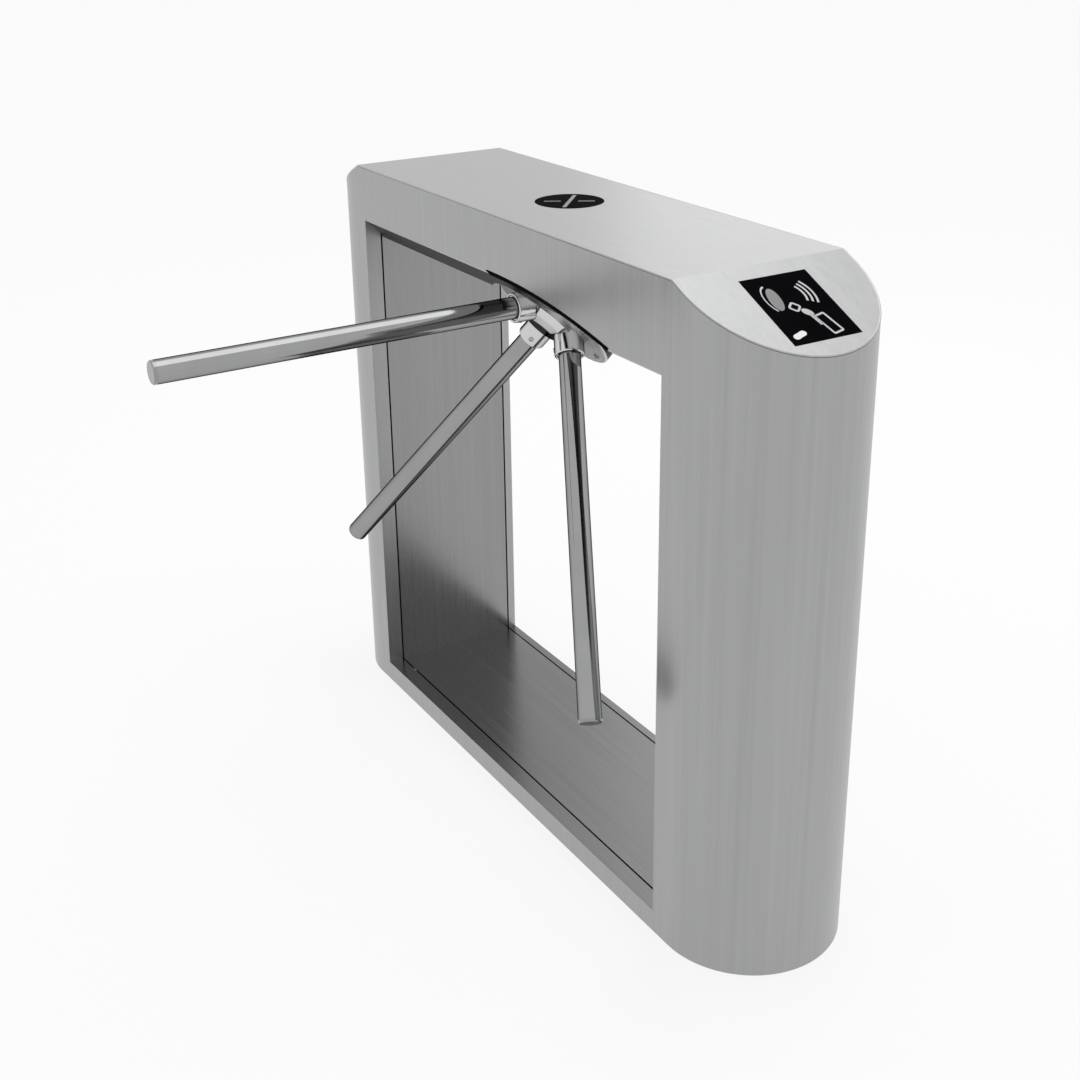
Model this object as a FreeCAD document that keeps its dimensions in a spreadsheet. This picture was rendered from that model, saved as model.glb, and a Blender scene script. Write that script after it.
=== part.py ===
"""Tripod turnstile: a bridge-shaped sheet-steel cabinet with three arms on a slanted hub.

X runs along the cabinet, towards the near end. The arms stand out of the front, at minus Y. Z is up.
The origin is on the floor, at the middle of the cabinet's footprint.
"""
import FreeCAD
import Part
import Sketcher
import math
import os

DIMENSIONS = {
    "body_height": 980,
    "body_depth": 276,
    "column_x": 470,
    "fold_x": 450,
    "end_drop": 77,
    "skin_gauge": 2,
    "window_x": 432,
    "sill_top": 35.5,
    "beam_depth_far": 92,
    "beam_depth_near": 128,
    "dip_start": 0,
    "dip_end": 310,
    "front_flange": 25,
    "rear_flange": 12,
    "liner_groove": 3,
    "pan_gauge": 2,
    "cover_gauge": 2,
    "cover_seam": 0.8,
    "lip_gauge": 1.5,
    "lip_depth": 14,
    "lip_clearance": 0.6,
    "base_gauge": 6,
    "base_clearance": 0.5,
    "base_inset": 4,
    "anchor_end_margin": 40.5,
    "anchor_spacing_x": 90,
    "anchor_spacing_y": 160,
    "anchor_hole_radius": 7,
    "cable_hole_radius": 30,
    "grommet_bore_radius": 22,
    "grommet_lip": 4,
    "grommet_lip_gauge": 3,
    "reader_length": 124,
    "reader_width": 106,
    "reader_gauge": 3,
    "reader_end_margin": 80,
    "panel_clearance": 0.3,
    "cutter_margin": 6,
    "module_margin": 8,
    "module_depth": 20,
    "indicator_radius": 52,
    "indicator_gauge": 3,
    "indicator_board_depth": 12,
    "hub_back": 174,
    "hub_drop": 176,
    "axis_tilt": 47.5,
    "scoop_slant": 45,
    "scoop_overlap": 8,
    "disc_radius": 108,
    "disc_gauge": 5,
    "disc_rim_depth": 16,
    "disc_rim_gauge": 4,
    "disc_bevel": 2,
    "disc_opening_clearance": 5,
    "face_gap": 2,
    "front_plate_gauge": 4,
    "front_plate_radius": 102,
    "shroud_radius": 78,
    "shroud_gauge": 2,
    "slip_clearance": 0.05,
    "shaft_radius": 15,
    "collar_radius": 19,
    "shaft_flange_radius": 40,
    "shaft_flange_gauge": 9,
    "spigot_radius": 16,
    "spigot_length": 12,
    "gear_seat_radius": 14,
    "tail_radius": 12,
    "thread_radius": 9,
    "housing_radius": 42,
    "housing_flange_radius": 60,
    "housing_flange_gauge": 8,
    "housing_lip": 6,
    "seal_bore_radius": 24,
    "bearing_radius": 31,
    "bearing_width": 16,
    "bearing_spacing": 26,
    "ring_land": 5,
    "race_depth": 1.8,
    "race_floor": 4,
    "race_mouth": 8.4,
    "ball_pitch_radius": 23,
    "ball_radius": 4.4,
    "ball_count": 9,
    "cage_gauge": 2,
    "cage_width": 6,
    "spacer_gauge": 4,
    "retainer_bore_radius": 20,
    "bulkhead_step": 2,
    "bulkhead_gauge": 6,
    "bulkhead_x": 130,
    "bulkhead_rise": 140,
    "bulkhead_foot_gap": 0.4,
    "bulkhead_round": 72,
    "gear_module": 2,
    "gear_teeth": 60,
    "pinion_teeth": 20,
    "gear_width": 12,
    "gear_gap": 6,
    "gear_backlash": 0.3,
    "pressure_angle": 20,
    "pinion_bearing": -68,
    "motor_radius": 25,
    "motor_length": 56,
    "motor_bore_depth": 38,
    "motor_shaft_radius": 5,
    "motor_fit": 0.06,
    "motor_hole_radius": 9,
    "standoff_radius": 5,
    "standoff_pitch_radius": 69,
    "standoff_gap": 4,
    "outboard_radius": 74,
    "outboard_gauge": 6,
    "outboard_bore_radius": 20,
    "friction_radius": 44,
    "friction_gauge": 6,
    "friction_hub_radius": 19,
    "friction_gap": 0.3,
    "armature_radius": 46,
    "armature_bore_radius": 24,
    "armature_gauge": 6,
    "armature_travel": 0.8,
    "armature_clearance": 0.2,
    "magnet_radius": 48,
    "magnet_length": 22,
    "magnet_flange_radius": 58,
    "magnet_flange_gauge": 6,
    "magnet_bore_radius": 22,
    "pillar_radius": 3.5,
    "pillar_pitch_radius": 53,
    "encoder_gap": 5,
    "encoder_radius": 34,
    "encoder_gauge": 2,
    "encoder_boss_radius": 18,
    "encoder_boss_length": 6,
    "sensor_width": 12,
    "sensor_reach": 13,
    "sensor_inner_radius": 29,
    "sensor_slot": 5,
    "sensor_clearance": 2,
    "nut_circumradius": 17,
    "nut_length": 8,
    "thread_tail": 4,
    "arm_radius": 17,
    "arm_wall": 1.5,
    "arm_apex": 40,
    "arm_reach": 650,
    "arm_root": 75,
    "arm_cap_gauge": 5,
    "arm_cap_bevel": 1.5,
    "arm_plug_length": 18,
    "socket_radius": 23,
    "socket_reach": 94,
    "socket_start": 50,
    "socket_floor": 74,
    "head_radius": 54,
    "head_rim": 6,
    "head_waist_radius": 44,
    "head_waist": 16,
    "head_nose_radius": 26,
    "head_depth": 22,
    "board_x": 300,
    "board_length": 170,
    "board_width": 110,
    "board_gauge": 1.6,
    "board_pillar": 12,
    "board_pillar_radius": 4,
    "board_pillar_inset": 8,
    "relay_length": 28,
    "relay_width": 14,
    "relay_height": 16,
    "relay_spacing": 34,
    "terminal_width": 12,
    "terminal_height": 14,
    "terminal_margin": 16,
    "supply_x": -310,
    "supply_length": 160,
    "supply_width": 98,
    "supply_height": 38,
}

ARM_ANGLES = (0, 120, 240)
STANDOFF_ANGLES = (35, 145, 240)
SENSOR_ANGLES = (0, 120)
FULL_TURN = 360
# Tooth form, in gear modules
DEDENDUM = 1.25
FLANK_START = 0.55
OVERCUT = 0.2
NEAR = 1
FAR = -1

doc = FreeCAD.newDocument("tripod_turnstile")
sheet = doc.addObject("Spreadsheet::Sheet", "Dims")
for row, (name, number) in enumerate(DIMENSIONS.items(), start=1):
    sheet.set("A%d" % row, name)
    sheet.set("B%d" % row, str(number))
    sheet.setAlias("B%d" % row, name)
doc.recompute()


class Size:
    """A length or ratio together with the sheet expression that gives it."""

    def __init__(self, value, text):
        self.value = float(value)
        self.text = text

    def __add__(self, other):
        other = as_size(other)
        return Size(self.value + other.value, "(%s + %s)" % (self.text, other.text))

    def __sub__(self, other):
        other = as_size(other)
        return Size(self.value - other.value, "(%s - %s)" % (self.text, other.text))

    def __mul__(self, other):
        other = as_size(other)
        return Size(self.value * other.value, "(%s * %s)" % (self.text, other.text))

    def __truediv__(self, other):
        other = as_size(other)
        return Size(self.value / other.value, "(%s / %s)" % (self.text, other.text))

    def __neg__(self):
        return Size(-self.value, "(0 - %s)" % self.text)


def as_size(value):
    """Return a plain number as a Size, and a Size as it is."""
    if isinstance(value, Size):
        return value
    return Size(value, "(%r)" % float(value))


class Driving:
    """The driving dimensions, one attribute for each sheet cell."""

    def __init__(self, names):
        for name in names:
            setattr(self, name, Size(names[name], "Dims." + name))


def sine(angle):
    """Sine of an angle in degrees."""
    return Size(math.sin(math.radians(angle.value)), "sin(%s)" % angle.text)


def cosine(angle):
    """Cosine of an angle in degrees."""
    return Size(math.cos(math.radians(angle.value)), "cos(%s)" % angle.text)


def tangent(angle):
    """Tangent of an angle in degrees."""
    return Size(math.tan(math.radians(angle.value)), "tan(%s)" % angle.text)


def arc_cosine(ratio):
    """Angle in degrees whose cosine is the ratio."""
    return Size(math.degrees(math.acos(ratio.value)), "(acos(%s) / 1deg)" % ratio.text)


def arc_tangent(ratio):
    """Angle in degrees whose tangent is the ratio."""
    return Size(math.degrees(math.atan(ratio.value)), "(atan(%s) / 1deg)" % ratio.text)


d = Driving(DIMENSIONS)
ZERO = as_size(0)
HALF = as_size(0.5)
pieces = []


def bind(owner, prop, size):
    """Drive one property of an object from the sheet."""
    owner.setExpression(prop, as_size(size).text)


def keep(piece):
    """Add a finished sub-part to those that are written out."""
    pieces.append(piece)
    return piece


def place(piece, x=ZERO, y=ZERO, z=ZERO, rotation=None):
    """Put a sub-part at a driven point, with an optional rotation."""
    spot = FreeCAD.Vector(as_size(x).value, as_size(y).value, as_size(z).value)
    piece.Placement = FreeCAD.Placement(spot, rotation or FreeCAD.Rotation())
    bind(piece, "Placement.Base.x", x)
    bind(piece, "Placement.Base.y", y)
    bind(piece, "Placement.Base.z", z)
    return piece


def origin_feature(body, role):
    """Find one of a body's own origin planes or axes."""
    return [item for item in body.Origin.OriginFeatures if item.Role == role][0]


def new_sketch(body, role):
    """Start a sketch on one of the body's origin planes."""
    sketch = body.newObject("Sketcher::SketchObject", body.Name + "_sketch")
    sketch.AttachmentSupport = (origin_feature(body, role), [""])
    sketch.MapMode = "FlatFace"
    return sketch


def pin_point(sketch, curve, point, x=None, y=None):
    """Fix a sketch point at driven distances from the sketch's origin."""
    for kind, size in (("DistanceX", x), ("DistanceY", y)):
        if size is not None:
            size = as_size(size)
            rule = sketch.addConstraint(Sketcher.Constraint(kind, -1, 1, curve, point, size.value))
            sketch.setExpression("Constraints[%d]" % rule, size.text)


def arc_between(start, end, centre):
    """Counter-clockwise arc from one point to the next about a centre."""
    hub = FreeCAD.Vector(centre[0].value, centre[1].value, 0)
    circle = Part.Circle(hub, FreeCAD.Vector(0, 0, 1), (start - hub).Length)
    return Part.ArcOfCircle(circle, circle.parameter(start), circle.parameter(end))


def add_loop(sketch, corners):
    """Draw a closed outline. A corner with a centre starts a counter-clockwise arc about it."""
    first = sketch.GeometryCount
    count = len(corners)
    spots = [FreeCAD.Vector(as_size(c[0]).value, as_size(c[1]).value, 0) for c in corners]
    for index, corner in enumerate(corners):
        start = spots[index]
        end = spots[(index + 1) % count]
        if len(corner) > 2:
            centre = (as_size(corner[2]), as_size(corner[3]))
            sketch.addGeometry(arc_between(start, end, centre), False)
        else:
            sketch.addGeometry(Part.LineSegment(start, end), False)
    for index in range(count):
        following = first + (index + 1) % count
        sketch.addConstraint(Sketcher.Constraint("Coincident", first + index, 2, following, 1))
    for index, corner in enumerate(corners):
        pin_point(sketch, first + index, 1, corner[0], corner[1])
        if len(corner) > 2:
            pin_point(sketch, first + index, 3, x=corner[2])


def add_circle(sketch, x, y, radius):
    """Draw a circle at a driven place."""
    x, y, radius = as_size(x), as_size(y), as_size(radius)
    hub = FreeCAD.Vector(x.value, y.value, 0)
    curve = sketch.addGeometry(Part.Circle(hub, FreeCAD.Vector(0, 0, 1), radius.value), False)
    pin_point(sketch, curve, 3, x, y)
    rule = sketch.addConstraint(Sketcher.Constraint("Radius", curve, radius.value))
    sketch.setExpression("Constraints[%d]" % rule, radius.text)


def pad(label, role, loops, length, circles=()):
    """Body of one outline, with holes, pushed out along the sketch plane's normal."""
    body = doc.addObject("PartDesign::Body", label)
    sketch = new_sketch(body, role)
    for loop in loops:
        add_loop(sketch, loop)
    for circle in circles:
        add_circle(sketch, *circle)
    block = body.newObject("PartDesign::Pad", label + "_pad")
    block.Profile = sketch
    bind(block, "Length", length)
    return body


def revolve(label, corners):
    """Body turned about Z from an outline of radius and height."""
    body = doc.addObject("PartDesign::Body", label)
    sketch = new_sketch(body, "XZ_Plane")
    add_loop(sketch, corners)
    turned = body.newObject("PartDesign::Revolution", label + "_turn")
    turned.Profile = sketch
    turned.ReferenceAxis = (sketch, ["V_Axis"])
    turned.Angle = FULL_TURN
    return body


def box(label, x, y, z, length, width, height):
    """Block with its low corner at a driven point."""
    block = doc.addObject("Part::Box", label)
    bind(block, "Length", length)
    bind(block, "Width", width)
    bind(block, "Height", height)
    return place(block, x, y, z)


def cylinder(label, radius, height):
    """Cylinder standing on the origin along Z."""
    rod = doc.addObject("Part::Cylinder", label)
    bind(rod, "Radius", radius)
    bind(rod, "Height", height)
    return rod


def join(label, *shapes):
    """One solid from several that touch or overlap."""
    fused = doc.addObject("Part::MultiFuse", label)
    fused.Shapes = list(shapes)
    fused.Refine = True
    return fused


def overlap(label, *shapes):
    """The space that several solids share."""
    shared = doc.addObject("Part::MultiCommon", label)
    shared.Shapes = list(shapes)
    return shared


def cut(label, base, *tools):
    """A solid with one or more tools taken away from it."""
    result = doc.addObject("Part::Cut", label)
    result.Base = base
    result.Tool = tools[0] if len(tools) == 1 else join(label + "_tools", *tools)
    return result


# Places along the slanted hub axis, measured inwards from the hub disc's face
at_plate = d.disc_rim_depth + d.face_gap
at_housing = at_plate + d.front_plate_gauge
at_front_bearing = at_housing + d.housing_lip
at_spacer = at_front_bearing + d.bearing_width
at_rear_bearing = at_spacer + d.bearing_spacing
at_retainer = at_rear_bearing + d.bearing_width
at_bulkhead = at_retainer + d.bulkhead_step
at_bulkhead_back = at_bulkhead + d.bulkhead_gauge
at_gear = at_bulkhead_back + d.gear_gap
at_gear_back = at_gear + d.gear_width
at_outboard = at_gear_back + d.standoff_gap
at_outboard_back = at_outboard + d.outboard_gauge
at_friction = at_outboard_back + d.friction_gap
at_armature = at_friction + d.friction_gauge
at_magnet = at_armature + d.armature_gauge + d.armature_travel + d.armature_clearance
at_magnet_back = at_magnet + d.magnet_length
at_encoder = at_magnet_back + d.encoder_gap
at_nut = at_encoder + d.encoder_boss_length
at_shaft_end = at_nut + d.nut_length + d.thread_tail

half_depth = d.body_depth * HALF
inner_half = half_depth - d.skin_gauge
base_reach = inner_half - d.base_clearance
lintel_high = d.body_height - d.beam_depth_far
lintel_low = d.body_height - d.beam_depth_near
hub_y = half_depth - d.hub_back
hub_z = d.body_height - d.hub_drop
tilt_sine = sine(d.axis_tilt)
tilt_cosine = cosine(d.axis_tilt)
hub_rotation = FreeCAD.Rotation(FreeCAD.Vector(1, 0, 0), -d.axis_tilt.value)
hub_axis = hub_rotation.multVec(FreeCAD.Vector(0, 0, 1))


def on_axis(piece, across=ZERO, down=ZERO, along=ZERO, spin=0):
    """Put a sub-part in the hub's slanted frame, turned about the hub axis."""
    turn = hub_rotation.multiply(FreeCAD.Rotation(FreeCAD.Vector(0, 0, 1), spin))
    y = hub_y + down * tilt_cosine + along * tilt_sine
    z = hub_z - down * tilt_sine + along * tilt_cosine
    return place(piece, across, y, z, turn)


def around(radius, angle):
    """Place across and down on a circle about the hub axis."""
    angle = as_size(angle)
    return radius * cosine(angle), radius * sine(angle)


# Where the three arms' centre lines meet, behind the hub disc's face
apex_y = hub_y + d.arm_apex * tilt_sine
apex_z = hub_z + d.arm_apex * tilt_cosine


def along_arm(piece, angle):
    """Turn a piece made along Z into the direction of one arm, from where the arms meet."""
    level = FreeCAD.Rotation(FreeCAD.Vector(1, 0, 0), 90)
    return place(piece, ZERO, apex_y, apex_z, FreeCAD.Rotation(hub_axis, angle).multiply(level))


# Height of the sloped top at a place along the cabinet
end_x = d.column_x + half_depth
slope = d.end_drop / (end_x - d.fold_x)
slope_angle = arc_tangent(slope)


def top_height(x, below):
    """Height a given depth below the cover's outer surface, on the sloped part."""
    return d.body_height - (x - d.fold_x) * slope - below


def top_profile(label, under, over):
    """Slab through the whole depth between two depths below the cover's outer surface."""
    far_x = end_x + d.skin_gauge
    corners = [
        (-far_x, top_height(far_x, under)), (-d.fold_x, d.body_height - under),
        (d.fold_x, d.body_height - under), (far_x, top_height(far_x, under)),
        (far_x, top_height(far_x, over)), (d.fold_x, d.body_height - over),
        (-d.fold_x, d.body_height - over), (-far_x, top_height(far_x, over)),
    ]
    return place(pad(label, "XZ_Plane", [corners], d.body_depth), y=half_depth)


def round_ended(label, inset):
    """Upright prism over the cabinet's round-ended outline, drawn in by an inset."""
    reach = half_depth - inset
    outline = [
        (-d.column_x, -reach), (d.column_x, -reach, d.column_x, ZERO),
        (d.column_x, reach), (-d.column_x, reach, -d.column_x, ZERO),
    ]
    return pad(label, "XY_Plane", [outline], d.body_height)


def skin_outline(lintel):
    """Outline of a flat front or rear skin: two legs and the beam, up to the cover's seam."""
    under = d.cover_gauge + d.cover_seam
    shoulder = top_height(d.column_x, under)
    near_leg = [(d.column_x, shoulder), (d.column_x, ZERO), (d.window_x, ZERO)]
    far_leg = [(-d.window_x, ZERO), (-d.column_x, ZERO), (-d.column_x, shoulder)]
    top = [(-d.fold_x, d.body_height - under), (d.fold_x, d.body_height - under)]
    return near_leg + lintel + far_leg + top


def side_flange(label, x, y, depth, top):
    """Return flange beside the window."""
    return box(label, x, y, d.sill_top, d.skin_gauge, depth, top - d.sill_top)


def front_skin():
    """Front sheet over the window, whose upper edge dips towards the near side."""
    drop = lintel_high - lintel_low
    run = d.dip_end - d.dip_start
    dip_radius = (run * run + drop * drop) / (drop * 2)
    dip_centre = lintel_high - dip_radius
    lintel = [
        (d.window_x, lintel_low), (d.dip_end, lintel_low, d.dip_start, dip_centre),
        (d.dip_start, lintel_high), (-d.window_x, lintel_high),
    ]
    panel = pad("front_panel", "XZ_Plane", [skin_outline(lintel)], d.skin_gauge)
    place(panel, y=-inner_half)
    far_edge = -d.window_x - d.skin_gauge
    far_side = side_flange("front_far_flange", far_edge, -inner_half, d.front_flange, lintel_high)
    near_side = side_flange("front_near_flange", d.window_x, -inner_half, d.front_flange, lintel_low)
    return keep(join("front_skin", panel, far_side, near_side))


def rear_skin():
    """Rear sheet over a plain window."""
    lintel = [(d.window_x, lintel_low), (-d.window_x, lintel_low)]
    panel = pad("rear_panel", "XZ_Plane", [skin_outline(lintel)], d.skin_gauge)
    place(panel, y=half_depth)
    start = inner_half - d.rear_flange
    far_edge = -d.window_x - d.skin_gauge
    far_side = side_flange("rear_far_flange", far_edge, start, d.rear_flange, lintel_low)
    near_side = side_flange("rear_near_flange", d.window_x, start, d.rear_flange, lintel_low)
    return keep(join("rear_skin", panel, far_side, near_side))


def end_skin(name, side):
    """Half-round sheet that closes one end, cut off along the cover's slope."""
    under = d.cover_gauge + d.cover_seam
    centre = d.column_x * side
    outer = [(centre, -half_depth * side, centre, ZERO), (centre, half_depth * side)]
    wall = pad(name + "_wall", "XY_Plane", [outer], d.body_height)
    inner = [(centre, -inner_half * side, centre, ZERO), (centre, inner_half * side)]
    hollow = pad(name + "_hollow", "XY_Plane", [inner], d.body_height)
    above = top_profile(name + "_above", under, -d.end_drop)
    return keep(cut(name, wall, hollow, above))


def liner_span():
    """Start and depth of the window liners between the two skins' flanges."""
    start = -inner_half + d.front_flange + d.liner_groove
    end = inner_half - d.rear_flange - d.liner_groove
    return start, end - start


def jamb_liner(name, x, top):
    """Upright sheet on one side of the window."""
    start, depth = liner_span()
    return keep(box(name, x, start, d.sill_top, d.skin_gauge, depth, top - d.sill_top))


def sill_tray():
    """Flat sheet at the bottom of the window."""
    start, depth = liner_span()
    base = d.sill_top - d.skin_gauge
    return keep(box("sill_tray", -d.window_x, start, base, d.window_x * 2, depth, d.skin_gauge))


def threshold_pan():
    """Folded channel on the floor between the columns, with a flange on each side of the sill."""
    under = d.sill_top - d.skin_gauge
    front_lip = -inner_half + d.front_flange
    rear_lip = inner_half - d.rear_flange
    outline = [
        (-half_depth, ZERO), (half_depth, ZERO), (half_depth, d.sill_top), (rear_lip, d.sill_top),
        (rear_lip, under), (inner_half, under), (inner_half, d.pan_gauge), (-inner_half, d.pan_gauge),
        (-inner_half, under), (front_lip, under), (front_lip, d.sill_top), (-half_depth, d.sill_top),
    ]
    channel = pad("threshold_pan", "YZ_Plane", [outline], d.window_x * 2)
    return keep(place(channel, x=-d.window_x))


# Where the slanted scoop panel meets the beam's floor
scoop_y = -inner_half + (lintel_high - lintel_low) / tangent(d.scoop_slant)


def hub_opening(label, mouth_radius):
    """Clearance for the arms, the hub disc and its front plate, then for the drum behind them."""
    mouth = cylinder(label + "_mouth", mouth_radius, at_housing + d.disc_opening_clearance + d.disc_radius)
    on_axis(mouth, along=-d.disc_radius)
    drum = cylinder(label + "_drum", d.shroud_radius - d.shroud_gauge, at_shaft_end)
    on_axis(drum)
    return join(label, mouth, drum)


def beam_floor():
    """Underside of the beam, open round the hub."""
    outline = [
        (-d.window_x, scoop_y), (d.dip_end, scoop_y), (d.dip_end, -inner_half),
        (d.window_x, -inner_half), (d.window_x, inner_half), (-d.window_x, inner_half),
    ]
    plate = pad("beam_floor_plate", "XY_Plane", [outline], d.skin_gauge)
    place(plate, z=lintel_low)
    opening = hub_opening("floor_opening", d.disc_radius + d.disc_opening_clearance)
    return keep(cut("beam_floor", plate, opening))


def scoop_panel():
    """Slanted sheet from the front skin's lower edge back to the beam's floor, ahead of the disc's rim."""
    rise = d.skin_gauge / cosine(d.scoop_slant)
    outline = [
        (-inner_half, lintel_high), (scoop_y, lintel_low),
        (scoop_y, lintel_low + rise), (-inner_half, lintel_high + rise),
    ]
    length = d.window_x + d.dip_end - d.skin_gauge
    slant = place(pad("scoop_slant", "YZ_Plane", [outline], length), x=-d.window_x)
    opening = hub_opening("scoop_opening", d.disc_radius - d.scoop_overlap)
    return keep(cut("scoop_panel", slant, opening))


def scoop_gusset():
    """Triangle that closes the near end of the scoop."""
    outline = [(-inner_half, lintel_low), (scoop_y, lintel_low), (-inner_half, lintel_high)]
    plate = pad("scoop_gusset", "YZ_Plane", [outline], d.skin_gauge)
    return keep(place(plate, x=d.dip_end - d.skin_gauge))


# Middle of each column's four anchors
anchor_x = d.column_x + base_reach - d.anchor_end_margin - d.anchor_spacing_x * HALF


def base_plate(name, side, cable_hole):
    """Thick plate on the floor inside one column, with anchor holes."""
    start = (d.window_x + d.base_inset) * side
    centre = d.column_x * side
    outline = [
        (start, -base_reach * side), (centre, -base_reach * side, centre, ZERO),
        (centre, base_reach * side), (start, base_reach * side),
    ]
    holes = []
    for across in (NEAR, FAR):
        for forward in (NEAR, FAR):
            x = anchor_x * side + d.anchor_spacing_x * HALF * across
            y = d.anchor_spacing_y * HALF * forward
            holes.append((x, y, d.anchor_hole_radius))
    if cable_hole:
        holes.append((anchor_x * side, ZERO, d.cable_hole_radius))
    return keep(pad(name, "XY_Plane", [outline], d.base_gauge, holes))


def cable_grommet():
    """Soft ring in the near base plate, where the building's cables come up."""
    wall = d.cable_hole_radius - d.slip_clearance
    flange = d.cable_hole_radius + d.grommet_lip
    top = d.base_gauge + d.grommet_lip_gauge
    ring = revolve("cable_grommet", [
        (d.grommet_bore_radius, ZERO), (wall, ZERO), (wall, d.base_gauge), (flange, d.base_gauge),
        (flange, top), (d.grommet_bore_radius, top),
    ])
    return keep(place(ring, x=anchor_x))


def drum_front_plate():
    """Round plate just behind the hub disc."""
    plate = revolve("drum_front_plate", [
        (d.seal_bore_radius, at_plate), (d.front_plate_radius, at_plate),
        (d.front_plate_radius, at_housing), (d.seal_bore_radius, at_housing),
    ])
    return keep(on_axis(plate))


def drum_shroud():
    """Tube from the front plate up to the beam's floor."""
    inner = d.shroud_radius - d.shroud_gauge
    tube = revolve("shroud_tube", [
        (inner, at_housing), (d.shroud_radius, at_housing),
        (d.shroud_radius, at_shaft_end), (inner, at_shaft_end),
    ])
    on_axis(tube)
    above = box("shroud_above", -d.window_x, -d.body_depth, lintel_low,
                d.window_x * 2, d.body_depth * 2, d.body_height)
    return keep(cut("drum_shroud", tube, above))


def bearing_housing():
    """Flanged sleeve that carries both bearings."""
    sleeve = revolve("bearing_housing", [
        (d.seal_bore_radius, at_housing), (d.housing_flange_radius, at_housing),
        (d.housing_flange_radius, at_housing + d.housing_flange_gauge),
        (d.housing_radius, at_housing + d.housing_flange_gauge), (d.housing_radius, at_bulkhead_back),
        (d.bearing_radius + d.slip_clearance, at_bulkhead_back),
        (d.bearing_radius + d.slip_clearance, at_front_bearing), (d.seal_bore_radius, at_front_bearing),
    ])
    return keep(on_axis(sleeve))


def plain_ring(name, inner, outer, start, end):
    """Ring of plain section about the hub axis."""
    ring = revolve(name, [(inner, start), (outer, start), (outer, end), (inner, end)])
    return keep(on_axis(ring))


def bearing(name, start):
    """Outer ring, inner ring, and cage with its balls."""
    end = start + d.bearing_width
    middle = start + d.bearing_width * HALF
    mouth = d.race_mouth * HALF
    floor = d.race_floor * HALF
    land = d.bearing_radius - d.ring_land
    outer = revolve(name + "_outer_ring", [
        (land, start), (d.bearing_radius, start), (d.bearing_radius, end), (land, end),
        (land, middle + mouth), (land + d.race_depth, middle + floor),
        (land + d.race_depth, middle - floor), (land, middle - mouth),
    ])
    keep(on_axis(outer))
    bore = d.shaft_radius + d.slip_clearance
    land = d.shaft_radius + d.ring_land
    inner = revolve(name + "_inner_ring", [
        (bore, start), (land, start), (land, middle - mouth), (land - d.race_depth, middle - floor),
        (land - d.race_depth, middle + floor), (land, middle + mouth), (land, end), (bore, end),
    ])
    keep(on_axis(inner))
    half_cage = d.cage_gauge * HALF
    low = middle - d.cage_width * HALF
    high = middle + d.cage_width * HALF
    ring = revolve(name + "_cage", [
        (d.ball_pitch_radius - half_cage, low), (d.ball_pitch_radius + half_cage, low),
        (d.ball_pitch_radius + half_cage, high), (d.ball_pitch_radius - half_cage, high),
    ])
    balls = []
    for index in range(int(d.ball_count.value)):
        ball = doc.addObject("Part::Sphere", "%s_ball_%d" % (name, index + 1))
        bind(ball, "Radius", d.ball_radius)
        angle = as_size(FULL_TURN * index) / d.ball_count
        x, y = around(d.ball_pitch_radius, angle)
        outwards = FreeCAD.Rotation(FreeCAD.Vector(0, 0, 1), angle.value)
        balls.append(place(ball, x, y, middle, outwards))
    return keep(on_axis(join(name + "_ball_cage", ring, *balls)))


# Place of the pinion beside the drive gear
gear_pitch = d.gear_module * d.gear_teeth * HALF
pinion_pitch = d.gear_module * d.pinion_teeth * HALF
pinion_across, pinion_down = around(gear_pitch + pinion_pitch, d.pinion_bearing)


def bulkhead_plate():
    """Slanted plate across the beam that carries the bearings, motor and brake, and stands on its floor."""
    front_foot = hub_z + at_bulkhead * tilt_cosine - lintel_low - d.skin_gauge
    foot_reach = front_foot / tilt_sine - d.bulkhead_foot_gap
    sheet_part = box("bulkhead_sheet", -d.bulkhead_x, -d.bulkhead_rise, at_bulkhead,
                     d.bulkhead_x * 2, d.bulkhead_rise + foot_reach, d.bulkhead_gauge)
    foot = place(cylinder("bulkhead_foot_disc", d.bulkhead_round, d.bulkhead_gauge), z=at_bulkhead)
    bore = cylinder("bulkhead_bore", d.housing_radius + d.slip_clearance, at_bulkhead_back + d.gear_gap)
    motor_hole = cylinder("bulkhead_motor_hole", d.motor_hole_radius, at_bulkhead_back + d.gear_gap)
    place(motor_hole, pinion_across, pinion_down)
    plate = cut("bulkhead_plate", join("bulkhead_blank", sheet_part, foot), bore, motor_hole)
    return keep(on_axis(plate))


def drive_motor():
    """Gear motor in front of the bulkhead, with a bore for its shaft."""
    start = at_bulkhead - d.motor_length
    floor = at_bulkhead - d.motor_bore_depth
    bore = d.motor_shaft_radius + d.motor_fit
    motor = revolve("drive_motor", [
        (ZERO, start), (d.motor_radius, start), (d.motor_radius, at_bulkhead),
        (bore, at_bulkhead), (bore, floor), (ZERO, floor),
    ])
    return keep(on_axis(motor, pinion_across, pinion_down))


def tooth_gap(teeth):
    """Half outline of the gap between two teeth: angle from its middle at several radii."""
    pitch = d.gear_module * teeth * HALF
    base = pitch * cosine(d.pressure_angle)
    degrees = as_size(math.degrees(1))
    at_pitch = as_size(90) / teeth + d.gear_backlash * HALF / pitch * degrees

    def unwound(radius):
        angle = arc_cosine(base / radius)
        return tangent(angle) * degrees - angle

    start = unwound(pitch)
    root = pitch - d.gear_module * DEDENDUM
    low = pitch - d.gear_module * FLANK_START
    tip = pitch + d.gear_module
    past_tip = tip + d.gear_module * OVERCUT
    flank = [low, pitch, pitch + d.gear_module * HALF, tip]
    angles = [at_pitch - start + unwound(radius) for radius in flank]
    return [root] + flank + [past_tip], [angles[0]] + angles + [angles[-1]], tip


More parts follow.
